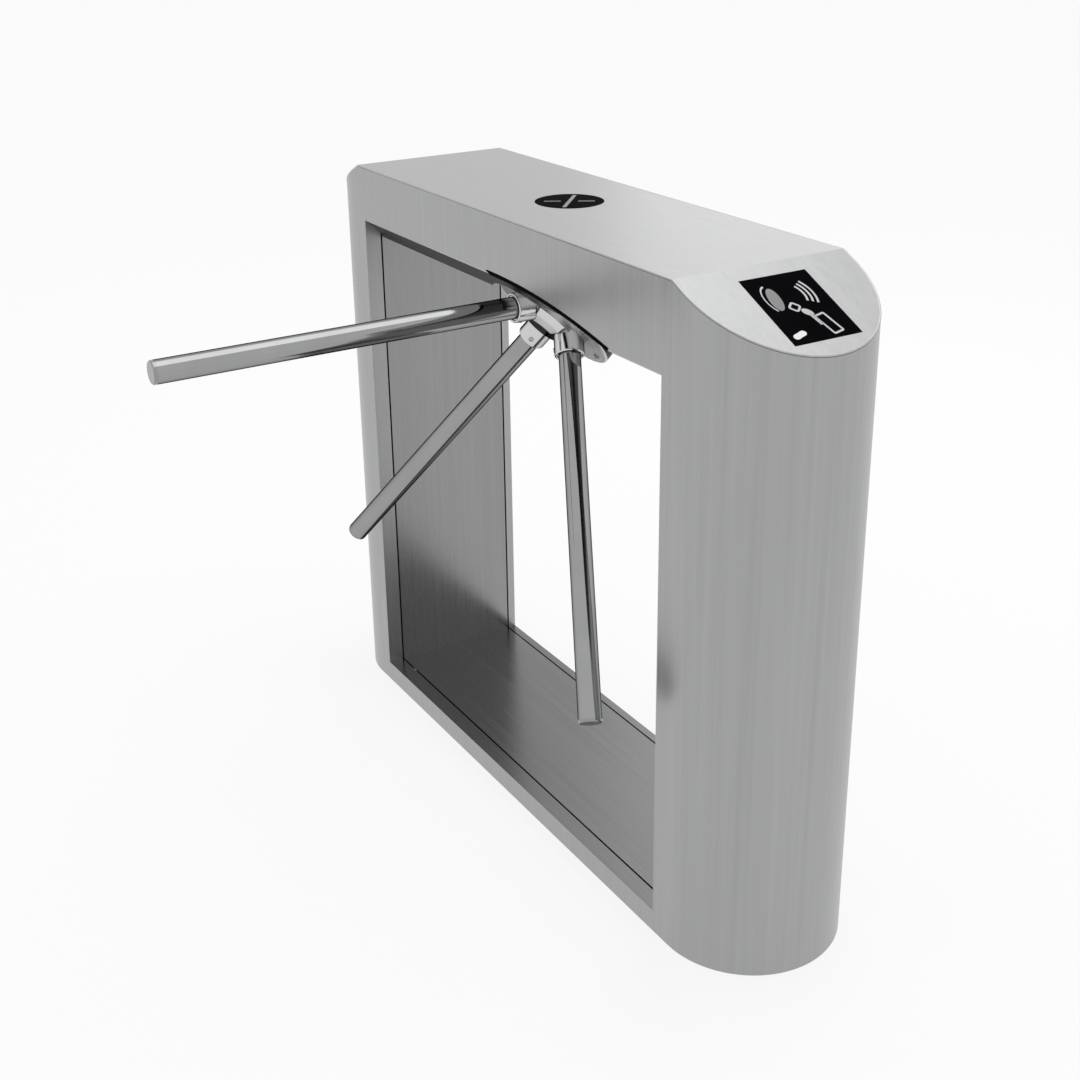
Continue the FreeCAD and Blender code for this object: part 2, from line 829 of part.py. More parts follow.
def toothed_wheel(name, teeth, bore):
    """Spur wheel standing on the origin, with a tooth gap along its own Y."""
    radii, angles, tip = tooth_gap(teeth)
    circles = [(ZERO, ZERO, tip)]
    if bore is not None:
        circles.append((ZERO, ZERO, bore))
    body = pad(name, "XY_Plane", [], d.gear_width, circles)
    sketch = new_sketch(body, "XY_Plane")
    right = [(r * sine(a), r * cosine(a)) for r, a in zip(radii, angles)]
    left = [(-(r * sine(a)), r * cosine(a)) for r, a in zip(radii, angles)]
    add_loop(sketch, right + left[::-1])
    doc.recompute()
    gap = body.newObject("PartDesign::Pocket", name + "_gap")
    gap.Profile = sketch
    gap.Reversed = True
    bind(gap, "Length", d.gear_width)
    ring = body.newObject("PartDesign::PolarPattern", name + "_gaps")
    ring.Originals = [gap]
    ring.Axis = (origin_feature(body, "Z_Axis"), [""])
    ring.Angle = FULL_TURN
    bind(ring, "Occurrences", teeth)
    body.Tip = ring
    return body


def drive_gear():
    """Large gear on the main shaft, with a tooth towards the pinion."""
    wheel = toothed_wheel("drive_gear", d.gear_teeth, d.gear_seat_radius + d.slip_clearance)
    turn = d.pinion_bearing.value + 180 / d.gear_teeth.value - 90
    return keep(on_axis(wheel, along=at_gear, spin=turn))


def motor_pinion():
    """Pinion in one piece with the motor's shaft, with a gap towards the gear."""
    wheel = toothed_wheel("pinion_wheel", d.pinion_teeth, None)
    length = at_gear_back - at_bulkhead + d.motor_bore_depth - d.standoff_gap * HALF
    shaft = cylinder("pinion_shaft", d.motor_shaft_radius, length)
    place(shaft, z=d.gear_width - length)
    turn = d.pinion_bearing.value + 90
    return keep(on_axis(join("motor_pinion", wheel, shaft), pinion_across, pinion_down, at_gear, turn))


def plate_standoff(index, angle):
    """Round pillar between the bulkhead and the outboard plate."""
    pillar = cylinder("plate_standoff_%d" % index, d.standoff_radius, at_outboard - at_bulkhead_back)
    across, down = around(d.standoff_pitch_radius, angle)
    return keep(on_axis(pillar, across, down, at_bulkhead_back))


def brake_magnet():
    """Magnet of the brake, on pillars that stand on the outboard plate."""
    body = revolve("magnet_body", [
        (d.magnet_bore_radius, at_magnet), (d.magnet_flange_radius, at_magnet),
        (d.magnet_flange_radius, at_magnet + d.magnet_flange_gauge),
        (d.magnet_radius, at_magnet + d.magnet_flange_gauge), (d.magnet_radius, at_magnet_back),
        (d.magnet_bore_radius, at_magnet_back),
    ])
    pillars = []
    for index, angle in enumerate(ARM_ANGLES, start=1):
        length = at_magnet - at_outboard_back + d.magnet_flange_gauge
        pillar = cylinder("magnet_pillar_%d" % index, d.pillar_radius, length)
        x, y = around(d.pillar_pitch_radius, angle)
        pillars.append(place(pillar, x, y, at_outboard_back))
    return keep(on_axis(join("brake_magnet", body, *pillars)))


def position_sensor(index, angle):
    """Fork over the edge of the encoder disc, on the back of the magnet."""
    length = d.encoder_gap + d.encoder_boss_length
    block = box("sensor_block_%d" % index, d.sensor_inner_radius, -d.sensor_width * HALF, at_magnet_back,
                d.sensor_reach, d.sensor_width, length)
    reach = d.encoder_radius + d.sensor_clearance - d.sensor_inner_radius
    slot = box("sensor_slot_%d" % index, d.sensor_inner_radius, -d.sensor_width * HALF,
               at_encoder + (d.encoder_gauge - d.sensor_slot) * HALF, reach, d.sensor_width, d.sensor_slot)
    return keep(on_axis(cut("position_sensor_%d" % index, block, slot), spin=angle))


def hub_disc():
    """Dished disc that turns with the arms."""
    bore = d.spigot_radius + d.slip_clearance
    skirt = d.disc_radius - d.disc_rim_gauge
    disc = revolve("hub_disc", [
        (bore, ZERO), (d.disc_radius - d.disc_bevel, ZERO), (d.disc_radius, d.disc_bevel),
        (d.disc_radius, d.disc_rim_depth), (skirt, d.disc_rim_depth),
        (skirt, d.disc_gauge), (bore, d.disc_gauge),
    ])
    return keep(on_axis(disc))


def main_shaft():
    """Stepped shaft from the tripod head to the encoder."""
    flange_end = d.disc_gauge + d.shaft_flange_gauge
    shaft = revolve("main_shaft", [
        (ZERO, -d.spigot_length), (d.spigot_radius, -d.spigot_length), (d.spigot_radius, d.disc_gauge),
        (d.shaft_flange_radius, d.disc_gauge), (d.shaft_flange_radius, flange_end),
        (d.collar_radius, flange_end), (d.collar_radius, at_front_bearing),
        (d.shaft_radius, at_front_bearing), (d.shaft_radius, at_gear),
        (d.gear_seat_radius, at_gear), (d.gear_seat_radius, at_gear_back),
        (d.tail_radius, at_gear_back), (d.tail_radius, at_nut),
        (d.thread_radius, at_nut), (d.thread_radius, at_shaft_end), (ZERO, at_shaft_end),
    ])
    return keep(on_axis(shaft))


def tripod_head():
    """Cast head on the hub disc's face, with three slanted sockets for the arms."""
    bore = d.spigot_radius + d.slip_clearance
    floor = -d.spigot_length - d.slip_clearance
    boss = revolve("head_boss", [
        (ZERO, -d.head_depth), (d.head_nose_radius, -d.head_depth), (d.head_waist_radius, -d.head_waist),
        (d.head_radius, -d.head_rim), (d.head_radius, ZERO), (bore, ZERO), (bore, floor), (ZERO, floor),
    ])
    on_axis(boss)
    collars = []
    bores = []
    for index, angle in enumerate(ARM_ANGLES, start=1):
        collar = revolve("head_collar_%d" % index, [
            (ZERO, d.socket_start), (d.socket_radius, d.socket_start),
            (d.socket_radius, d.socket_reach), (ZERO, d.socket_reach),
        ])
        collars.append(along_arm(collar, angle))
        hole = revolve("head_hole_%d" % index, [
            (ZERO, d.socket_floor), (d.arm_radius + d.slip_clearance, d.socket_floor),
            (d.arm_radius + d.slip_clearance, d.arm_reach), (ZERO, d.arm_reach),
        ])
        bores.append(along_arm(hole, angle))
    ahead = cylinder("head_front_space", d.disc_radius, d.disc_radius)
    on_axis(ahead, along=-d.disc_radius)
    casting = overlap("head_casting", join("head_blank", boss, *collars), ahead)
    spigot = cylinder("head_spigot_space", bore, d.spigot_length + d.slip_clearance)
    on_axis(spigot, along=floor)
    return keep(cut("tripod_head", casting, spigot, *bores))


def arm(index, angle):
    """Tube of one arm and the cap on its end."""
    inner = d.arm_radius - d.arm_wall
    cap_start = d.arm_reach - d.arm_cap_gauge
    tube = revolve("arm_tube_%d" % index, [
        (inner, d.arm_root), (d.arm_radius, d.arm_root), (d.arm_radius, cap_start), (inner, cap_start),
    ])
    keep(along_arm(tube, angle))
    plug = inner - d.slip_clearance
    cap = revolve("arm_cap_%d" % index, [
        (ZERO, cap_start - d.arm_plug_length), (plug, cap_start - d.arm_plug_length), (plug, cap_start),
        (d.arm_radius, cap_start), (d.arm_radius, d.arm_reach - d.arm_cap_bevel),
        (d.arm_radius - d.arm_cap_bevel, d.arm_reach), (ZERO, d.arm_reach),
    ])
    return keep(along_arm(cap, angle))


def friction_disc():
    """Brake disc with a hub that reaches through the armature."""
    bore = d.tail_radius + d.slip_clearance
    end = at_armature + d.armature_gauge
    disc = revolve("brake_friction_disc", [
        (bore, at_friction), (d.friction_radius, at_friction), (d.friction_radius, at_armature),
        (d.friction_hub_radius, at_armature), (d.friction_hub_radius, end), (bore, end),
    ])
    return keep(on_axis(disc))


def encoder_disc():
    """Thin disc that the position sensors read."""
    bore = d.tail_radius + d.slip_clearance
    rim_back = at_encoder + d.encoder_gauge
    disc = revolve("encoder_disc", [
        (bore, at_encoder), (d.encoder_radius, at_encoder), (d.encoder_radius, rim_back),
        (d.encoder_boss_radius, rim_back), (d.encoder_boss_radius, at_nut), (bore, at_nut),
    ])
    return keep(on_axis(disc))


def shaft_nut():
    """Hexagonal nut on the shaft's tail."""
    blank = doc.addObject("Part::Prism", "nut_blank")
    blank.Polygon = 6
    bind(blank, "Circumradius", d.nut_circumradius)
    bind(blank, "Height", d.nut_length)
    bore = cylinder("nut_bore", d.thread_radius + d.slip_clearance, d.nut_length)
    return keep(on_axis(cut("shaft_nut", blank, bore), along=at_nut))


def control_board():
    """Circuit board with relays and terminals, on pillars on the beam's floor."""
    base = lintel_low + d.skin_gauge
    deck = base + d.board_pillar
    left = d.board_x - d.board_length * HALF
    front = -d.board_width * HALF
    shapes = [box("board_sheet", left, front, deck, d.board_length, d.board_width, d.board_gauge)]
    for across in (NEAR, FAR):
        for forward in (NEAR, FAR):
            pillar = cylinder("board_pillar_%d" % len(shapes), d.board_pillar_radius, d.board_pillar)
            x = d.board_x + (d.board_length * HALF - d.board_pillar_inset) * across
            y = (d.board_width * HALF - d.board_pillar_inset) * forward
            shapes.append(place(pillar, x, y, base))
    top = deck + d.board_gauge
    for step in (-1, 0, 1):
        x = d.board_x + d.relay_spacing * step - d.relay_length * HALF
        shapes.append(box("board_relay_%d" % len(shapes), x, -d.relay_width * HALF, top,
                          d.relay_length, d.relay_width, d.relay_height))
    strip = d.board_length - d.terminal_margin * 2
    for forward in (NEAR, FAR):
        y = (d.board_width - d.terminal_width) * HALF * forward - d.terminal_width * HALF
        shapes.append(box("board_terminal_%d" % len(shapes), d.board_x - strip * HALF, y, top,
                          strip, d.terminal_width, d.terminal_height))
    return keep(join("control_board", *shapes))


def power_supply():
    """Boxed supply on the beam's floor."""
    left = d.supply_x - d.supply_length * HALF
    return keep(box("power_supply", left, -d.supply_width * HALF, lintel_low + d.skin_gauge,
                    d.supply_length, d.supply_width, d.supply_height))


def on_slope(piece, side, below):
    """Lay a piece on one sloped end of the cover, a given depth under its outer surface."""
    run = end_x - d.fold_x - d.reader_end_margin
    x = (d.fold_x + run + below * -sine(slope_angle)) * side
    z = d.body_height - run * slope - below * cosine(slope_angle)
    piece.Placement = FreeCAD.Placement(FreeCAD.Vector(), FreeCAD.Rotation(FreeCAD.Vector(0, side, 0), 1))
    bind(piece, "Placement.Base.x", x)
    bind(piece, "Placement.Base.y", ZERO)
    bind(piece, "Placement.Base.z", z)
    bind(piece, "Placement.Rotation.Angle", slope_angle)
    return piece


def slope_plate(label, side, length, width, gauge, below):
    """Rectangular plate lying on one slope, with its upper face a given depth under the surface."""
    outline = [
        (-length * HALF, -width * HALF), (length * HALF, -width * HALF),
        (length * HALF, width * HALF), (-length * HALF, width * HALF),
    ]
    return on_slope(pad(label, "XY_Plane", [outline], gauge), side, gauge + below)


def top_cover():
    """Cover sheet over the beam and both sloped ends, with a lip inside the skins."""
    deck = overlap("cover_deck", round_ended("cover_outline", ZERO),
                   top_profile("cover_slab", d.cover_gauge, ZERO))
    outer = d.skin_gauge + d.lip_clearance
    ring = cut("lip_ring", round_ended("lip_outer", outer), round_ended("lip_inner", outer + d.lip_gauge))
    lip = overlap("cover_lip", ring,
                  top_profile("lip_slab", d.cover_gauge + d.lip_depth, d.cover_gauge * HALF))
    gap = d.panel_clearance * 2
    holes = []
    for name, side in (("near", NEAR), ("far", FAR)):
        hole = slope_plate(name + "_reader_hole", side, d.reader_length + gap, d.reader_width + gap,
                           d.reader_gauge + d.cutter_margin * 2, -d.cutter_margin)
        holes.append(hole)
    round_hole = cylinder("indicator_hole", d.indicator_radius + d.panel_clearance,
                          d.indicator_gauge + d.cutter_margin * 2)
    holes.append(place(round_hole, z=d.body_height - d.indicator_gauge - d.cutter_margin))
    return keep(cut("top_cover", join("cover_blank", deck, lip), *holes))


def readers():
    """Dark window and reader module in each sloped end."""
    for name, side in (("near", NEAR), ("far", FAR)):
        keep(slope_plate(name + "_reader_window", side, d.reader_length, d.reader_width,
                         d.reader_gauge, ZERO))
        margin = d.module_margin * 2
        keep(slope_plate(name + "_reader_module", side, d.reader_length - margin, d.reader_width - margin,
                         d.module_depth, d.reader_gauge))


def indicator():
    """Round dark lens in the middle of the top, and the board under it."""
    lens = cylinder("indicator_lens", d.indicator_radius, d.indicator_gauge)
    keep(place(lens, z=d.body_height - d.indicator_gauge))
    board = cylinder("indicator_board", d.indicator_radius - d.module_margin, d.indicator_board_depth)
    keep(place(board, z=d.body_height - d.indicator_gauge - d.indicator_board_depth))


# Cabinet
front_skin()
rear_skin()
end_skin("near_end_skin", NEAR)
end_skin("far_end_skin", FAR)
jamb_liner("near_jamb_liner", d.window_x, lintel_low)
jamb_liner("far_jamb_liner", -d.window_x - d.skin_gauge, lintel_high)
sill_tray()
threshold_pan()
beam_floor()
scoop_panel()
scoop_gusset()
base_plate("near_base_plate", NEAR, True)
base_plate("far_base_plate", FAR, False)
cable_grommet()
control_board()
power_supply()

# Hub housing, drive and brake
drum_front_plate()
drum_shroud()
bearing_housing()
bearing("front_bearing", at_front_bearing)
bearing("rear_bearing", at_rear_bearing)
plain_ring("bearing_spacer", d.bearing_radius - d.spacer_gauge, d.bearing_radius,
           at_spacer, at_rear_bearing)
plain_ring("bearing_retainer", d.retainer_bore_radius, d.bearing_radius, at_retainer, at_bulkhead_back)
bulkhead_plate()
plain_ring("outboard_plate", d.outboard_bore_radius, d.outboard_radius, at_outboard, at_outboard_back)
for number, bearing_angle in enumerate(STANDOFF_ANGLES, start=1):
    plate_standoff(number, bearing_angle)
drive_motor()
motor_pinion()
brake_magnet()
plain_ring("brake_armature", d.armature_bore_radius, d.armature_radius, at_armature,
           at_armature + d.armature_gauge)
for number, bearing_angle in enumerate(SENSOR_ANGLES, start=1):
    position_sensor(number, bearing_angle)

# Rotor
main_shaft()
hub_disc()
tripod_head()
for number, arm_angle in enumerate(ARM_ANGLES, start=1):
    arm(number, arm_angle)
drive_gear()
friction_disc()
encoder_disc()
shaft_nut()

# Cover
top_cover()
readers()
indicator()

doc.recompute()
for item in doc.Objects:
    if "Invalid" in item.State or "Error" in item.State:
        raise RuntimeError("%s did not build: %s" % (item.Label, item.State))
for piece in pieces:
    if piece.Shape.isNull() or not piece.Shape.isValid():
        raise RuntimeError("%s has no valid shape" % piece.Label)
    if len(piece.Shape.Solids) != 1:
        raise RuntimeError("%s has %d solids" % (piece.Label, len(piece.Shape.Solids)))

os.makedirs("parts", exist_ok=True)
for piece in pieces:
    piece.Shape.exportStep("parts/%s.step" % piece.Label)
print("wrote %d sub-parts" % len(pieces))
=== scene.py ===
"""Looks of a tripod turnstile: finishes, folds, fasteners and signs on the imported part, in a plain studio.

Everything is in metres, in the part's own frame: X runs along the cabinet towards the near end, the arms
stand out of the front at minus Y, and Z is up from the floor.
"""
import logging
import math
from dataclasses import dataclass, field
from enum import Enum
from typing import Any, Iterable, Sequence

import bmesh
import bpy
from mathutils import Matrix, Vector


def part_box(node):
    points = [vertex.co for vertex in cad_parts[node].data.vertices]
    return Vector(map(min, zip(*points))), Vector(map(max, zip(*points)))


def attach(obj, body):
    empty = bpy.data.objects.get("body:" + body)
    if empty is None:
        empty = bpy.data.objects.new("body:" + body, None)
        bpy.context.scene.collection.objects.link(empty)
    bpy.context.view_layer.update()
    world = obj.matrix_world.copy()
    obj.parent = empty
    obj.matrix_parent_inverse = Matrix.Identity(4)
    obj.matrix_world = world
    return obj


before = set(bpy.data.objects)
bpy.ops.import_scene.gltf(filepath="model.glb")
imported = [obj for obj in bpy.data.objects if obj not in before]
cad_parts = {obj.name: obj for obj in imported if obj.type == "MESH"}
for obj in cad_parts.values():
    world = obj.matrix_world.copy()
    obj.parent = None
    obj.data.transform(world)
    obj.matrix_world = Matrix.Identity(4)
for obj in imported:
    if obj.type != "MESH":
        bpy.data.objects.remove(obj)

LOG = logging.getLogger("turnstile")
Colour = tuple[float, float, float]
Point = tuple[float, float, float]
Pair = tuple[float, float]
Spot = tuple[Vector, Vector]
Socket = bpy.types.NodeSocket
Piece = bpy.types.Object
Material = bpy.types.Material


class Body(Enum):
    """The bodies that carry the scene's own pieces."""

    CABINET = "cabinet"
    ROTOR = "rotor"
    COVER = "cover"


class Grain(Enum):
    """Direction in which a sheet was ground, as how much its pattern is packed along X, Y and Z."""

    UPRIGHT = (1.0, 1.0, 0.012)
    ALONG = (0.012, 1.0, 1.0)
    EVEN = (1.0, 1.0, 1.0)


@dataclass(frozen=True)
class HubAxis:
    """The slanted line that the arms turn about, pointing in and up."""

    centre: Point = (0.0, -0.036, 0.804)
    tilt: float = math.radians(47.5)
    arm_apex: float = 0.040

    def matrix(self) -> Matrix:
        """Return the hub's own frame, with Z along the axis and X along the cabinet."""
        return Matrix.Translation(self.centre) @ Matrix.Rotation(-self.tilt, 4, "X")

    def at(self, radius: float, angle: float, along: float) -> Vector:
        """Place on a circle about the axis.

        Args:
            radius: Distance from the axis.
            angle: Turn about the axis in degrees.
            along: Distance inwards from the hub disc's face.

        Returns:
            The place.
        """
        turn = math.radians(angle)
        return self.matrix() @ Vector((radius * math.cos(turn), radius * math.sin(turn), along))

    def inwards(self) -> Vector:
        """Return the axis direction."""
        return self.matrix().to_3x3() @ Vector((0.0, 0.0, 1.0))

    def arm(self, angle: float) -> Vector:
        """Return the direction of the arm at a turn in degrees."""
        return Matrix.Rotation(math.radians(angle), 3, self.inwards()) @ Vector((0.0, -1.0, 0.0))

    def on_arm(self, angle: float, reach: float) -> Vector:
        """Return the place at a distance along the arm at a turn, from where the arms' lines meet."""
        return self.at(0.0, 0.0, self.arm_apex) + self.arm(angle) * reach

    def screws(self, radius: float, count: int, along: float, start: float, sense: float) -> list[Spot]:
        """Spots for a ring of screws about the axis.

        Args:
            radius: Radius of the ring.
            count: Number of screws.
            along: Distance inwards of the heads' middles.
            start: Turn of the first screw in degrees.
            sense: 1 for heads that face inwards, -1 for heads that face outwards.

        Returns:
            Place and facing direction of each screw.
        """
        angles = [start + index * 360.0 / count for index in range(count)]
        return [(self.at(radius, angle, along), self.inwards() * sense) for angle in angles]


def stand(name: str, data: bpy.types.ID) -> Piece:
    """Put a new object with its data into the scene, and return it."""
    made = bpy.data.objects.new(name, data)
    bpy.context.scene.collection.objects.link(made)
    return made


class Graph:
    """Adds nodes to one node tree and joins their sockets."""

    def __init__(self, tree: bpy.types.NodeTree) -> None:
        """Start in a tree, beside whatever it holds."""
        self.tree = tree

    def node(self, kind: str, inputs: dict[Any, Any] | None = None, **settings: Any) -> bpy.types.Node:
        """Add a node.

        Args:
            kind: Blender's type name of the node.
            inputs: Value, or another node's output, for each input by name or number.
            **settings: Properties of the node itself.

        Returns:
            The new node.
        """
        made = self.tree.nodes.new(kind)
        for key, value in settings.items():
            setattr(made, key, value)
        for key, value in (inputs or {}).items():
            self.feed(made, key, value)
        return made

    def feed(self, node: bpy.types.Node, socket: str | int, value: Any) -> None:
        """Set one input of a node, or join it to another node's output."""
        if isinstance(value, Socket):
            self.tree.links.new(value, node.inputs[socket])
        else:
            node.inputs[socket].default_value = value

    def sum_of(self, *terms: Any) -> Socket:
        """Add up several numbers or outputs, and return the output that carries the sum."""
        total = terms[0]
        for term in terms[1:]:
            total = self.maths("ADD", total, term)
        return total

    def maths(self, operation: str, first: Any, second: Any) -> Socket:
        """Join two numbers or outputs by Blender's name of an operation, and return the output."""
        return self.node("ShaderNodeMath", {0: first, 1: second}, operation=operation).outputs[0]


class Shader(Graph):
    """A material under construction, with a Principled surface and patterns in Object coordinates."""

    def __init__(self, name: str) -> None:
        """Make an empty material with its surface and output."""
        self.material = bpy.data.materials.new(name)
        self.material.use_nodes = True
        super().__init__(self.material.node_tree)
        self.tree.nodes.clear()
        self.surface = self.node("ShaderNodeBsdfPrincipled")
        self.node("ShaderNodeOutputMaterial", {"Surface": self.surface.outputs[0]})
        self.place = self.node("ShaderNodeTexCoord").outputs["Object"]

    def noise(self, spread: Sequence[float], detail: float = 3.0, rough: float = 0.5) -> Socket:
        """Cloudy pattern.

        Args:
            spread: Repeats per metre along X, Y and Z.
            detail: Number of finer layers.
            rough: Strength of each finer layer.

        Returns:
            Output that runs from 0 to 1.
        """
        packed = self.node("ShaderNodeMapping", {"Vector": self.place, "Scale": tuple(spread)})
        cloud = {"Vector": packed.outputs[0], "Scale": 1.0, "Detail": detail, "Roughness": rough}
        return self.node("ShaderNodeTexNoise", cloud).outputs[0]

    def clouds(self, per_metre: float, detail: float = 3.0, rough: float = 0.5) -> Socket:
        """Return a cloudy pattern that is packed alike along X, Y and Z."""
        return self.noise([per_metre] * 3, detail, rough)

    def ranged(self, value: Socket, low: float, high: float,
               start: float = 0.25, end: float = 0.75) -> Socket:
        """Stretch the middle of a pattern over a range of numbers, and return that output."""
        limits = {"Value": value, "From Min": start, "From Max": end, "To Min": low, "To Max": high}
        return self.node("ShaderNodeMapRange", limits).outputs[0]

    def mixed(self, share: Any, low: Any, high: Any) -> Socket:
        """Blend two colours or colour outputs by a share, and return the colour output."""
        blend = self.node("ShaderNodeMix", {0: share}, data_type="RGBA")
        self.feed(blend, 6, (*low, 1.0) if isinstance(low, tuple) else low)
        self.feed(blend, 7, (*high, 1.0) if isinstance(high, tuple) else high)
        return blend.outputs[2]

    def dulled(self, pattern: Socket, colour: Colour, shade: float) -> Socket:
        """Let a pattern take a colour down to a share of itself, and return the colour output."""
        return self.mixed(self.ranged(pattern, 0.0, 1.0), darker(colour, shade), colour)

    def above(self, axis: int, limit: float) -> Socket:
        """Tell where one Object coordinate is over a limit, as an output of 0 or 1."""
        parts = self.node("ShaderNodeSeparateXYZ", {0: self.place})
        return self.maths("GREATER_THAN", parts.outputs[axis], limit)

    def bump(self, height: Socket, depth: float) -> None:
        """Raise the surface by a pattern of a real depth."""
        ridge = {"Height": height, "Distance": depth, "Strength": 1.0}
        self.feed(self.surface, "Normal", self.node("ShaderNodeBump", ridge).outputs[0])

    def finish(self, **inputs: Any) -> Material:
        """Set the surface's inputs by name, with underscores for spaces, and return the material."""
        for key, value in inputs.items():
            self.feed(self.surface, key.replace("_", " "), value)
        return self.material


def darker(colour: Colour, share: float) -> Colour:
    """Scale a colour towards black, and return it."""
    return tuple(part * share for part in colour)


@dataclass(frozen=True)
class BrushedSteel:
    """Stainless sheet ground in one direction, with hairlines, broader streaks and faint clouds."""

    name: str
    colour: Colour
    grain: Grain
    roughness: float = 0.33
    streak_shade: float = 0.89
    hairs_per_metre: float = 900.0
    streaks_per_metre: float = 95.0
    clouds_per_metre: float = 5.0
    cloud_share: float = 0.16
    hair_gloss: float = 0.05
    streak_gloss: float = 0.03
    hair_depth: float = 0.00004

    def material(self) -> Material:
        """Build the finish, and return its material."""
        shader = Shader(self.name)
        dark = darker(self.colour, self.streak_shade)
        packing = Vector(self.grain.value)
        hairs = shader.noise(packing * self.hairs_per_metre, detail=2.0)
        streaks = shader.noise(packing * self.streaks_per_metre, detail=4.0, rough=0.6)
        clouds = shader.clouds(self.clouds_per_metre, detail=2.0)
        sheet = shader.mixed(shader.ranged(streaks, 0.0, 1.0, start=0.3, end=0.7), dark, self.colour)
        tint = shader.mixed(shader.ranged(clouds, 0.0, self.cloud_share), sheet, dark)
        rough = shader.sum_of(shader.ranged(hairs, -self.hair_gloss, self.hair_gloss),
                              shader.ranged(streaks, -self.streak_gloss, self.streak_gloss), self.roughness)
        shader.bump(hairs, self.hair_depth)
        return shader.finish(Base_Color=tint, Metallic=1.0, Roughness=rough)


@dataclass(frozen=True)
class SmoothMetal:
    """Polished, plated or machined metal with an uneven gloss and shaded glancing reflections."""

    name: str
    colour: Colour
    roughness: float
    unevenness: float = 0.05
    least_roughness: float = 0.02
    marks_per_metre: float = 140.0
    haze_share: float = 0.12
    mark_depth: float = 0.00001
    dulling: float = 0.9
    rim_shade: float = 1.0

    def material(self) -> Material:
        """Build the finish, and return its material."""
        shader = Shader(self.name)
        marks = shader.clouds(self.marks_per_metre, detail=5.0, rough=0.6)
        haze = shader.clouds(self.marks_per_metre * self.haze_share)
        tint = shader.dulled(haze, self.colour, self.dulling)
        low = max(self.roughness - self.unevenness, self.least_roughness)
        rough = shader.ranged(haze, low, self.roughness + self.unevenness)
        shader.bump(marks, self.mark_depth)
        return shader.finish(Base_Color=tint, Metallic=1.0, Roughness=rough,
                             Specular_Tint=(*[self.rim_shade] * 3, 1.0))


@dataclass(frozen=True)
class ShadowRimDisc:
    """Satin steel disc whose rim behind its face is coloured black, as painted shadow for the gap round it.
    """

    name: str
    colour: Colour
    roughness: float
    axis: HubAxis = HubAxis()
    face_depth: float = 0.0035
    rim_shadow_colour: Colour = (0.012, 0.012, 0.013)
    rim_roughness: float = 0.6
    marks_per_metre: float = 420.0
    mark_depth: float = 0.00002
    haze_per_metre: float = 25.0
    unevenness: float = 0.05
    dulling: float = 0.9

    def material(self) -> Material:
        """Build the finish, and return its material."""
        shader = Shader(self.name)
        inwards = self.axis.inwards()
        along = shader.node("ShaderNodeVectorMath", {0: shader.place, 1: tuple(inwards)},
                            operation="DOT_PRODUCT").outputs["Value"]
        # Rim behind the face: black non-metal, painted shadow for the gap between the disc and the lintel.
        rim = shader.maths("GREATER_THAN", along, inwards.dot(Vector(self.axis.centre)) + self.face_depth)
        marks = shader.clouds(self.marks_per_metre, detail=4.0, rough=0.6)
        haze = shader.clouds(self.haze_per_metre)
        face = shader.dulled(haze, self.colour, self.dulling)
        satin = shader.ranged(haze, self.roughness - self.unevenness, self.roughness + self.unevenness)
        rough = shader.node("ShaderNodeMix", {0: rim, 2: satin, 3: self.rim_roughness})
        shader.bump(marks, self.mark_depth)
        return shader.finish(Base_Color=shader.mixed(rim, face, self.rim_shadow_colour),
                             Metallic=shader.maths("SUBTRACT", 1.0, rim), Roughness=rough.outputs[0])


@dataclass(frozen=True)
class Moulded:
    """Paint, plastic, rubber or another non-metal with a grained surface."""

    name: str
    colour: Colour
    roughness: float
    grain_per_metre: float = 900.0
    grain_depth: float = 0.00006
    patch_share: float = 0.04
    unevenness: float = 0.15
    mottle: float = 0.75
    gloss: float = 0.4

    def material(self) -> Material:
        """Build the finish, and return its material."""
        shader = Shader(self.name)
        grain = shader.clouds(self.grain_per_metre)
        patches = shader.clouds(self.grain_per_metre * self.patch_share)
        tint = shader.dulled(patches, self.colour, self.mottle)
        spread = self.roughness * self.unevenness
        rough = shader.ranged(patches, self.roughness - spread, min(self.roughness + spread, 1.0))
        shader.bump(grain, self.grain_depth)
        return shader.finish(Base_Color=tint, Roughness=rough, Specular_IOR_Level=self.gloss)


@dataclass(frozen=True)
class BoardLayers:
    """Circuit board whose pillars, board, relays and terminals differ by where they stand."""

    name: str
    deck: float
    half_relay: float
    colour_board: Colour = (0.012, 0.09, 0.035)
    colour_track: Colour = (0.03, 0.16, 0.06)
    colour_relay: Colour = (0.012, 0.014, 0.02)
    colour_terminal: Colour = (0.06, 0.22, 0.10)
    colour_pillar: Colour = (0.45, 0.32, 0.12)
    tracks_per_metre: float = 260.0
    track_width: float = 0.06
    board_shade: float = 0.8
    board_thickness: float = 0.0017
    deck_margin: float = 0.0002
    grime_per_metre: float = 60.0
    grime_depth: float = 0.00005
    gloss_range: Pair = (0.3, 0.5)

    def material(self) -> Material:
        """Build the finish, and return its material."""
        shader = Shader(self.name)
        tracks = shader.node("ShaderNodeTexBrick", {
            "Vector": shader.place, "Scale": self.tracks_per_metre, "Mortar Size": self.track_width,
            "Color1": (*self.colour_board, 1.0), "Mortar": (*self.colour_track, 1.0),
            "Color2": (*darker(self.colour_board, self.board_shade), 1.0),
        })
        grime = shader.clouds(self.grime_per_metre)
        beside = shader.sum_of(shader.above(1, self.half_relay),
                               shader.maths("SUBTRACT", 1.0, shader.above(1, -self.half_relay)))
        fittings = shader.mixed(beside, self.colour_relay, self.colour_terminal)
        underside = self.deck - self.board_thickness
        flat = shader.mixed(shader.above(2, underside), self.colour_pillar, tracks.outputs[0])
        layered = shader.mixed(shader.above(2, self.deck + self.deck_margin), flat, fittings)
        shader.bump(grime, self.grime_depth)
        return shader.finish(Base_Color=layered, Roughness=shader.ranged(grime, *self.gloss_range))


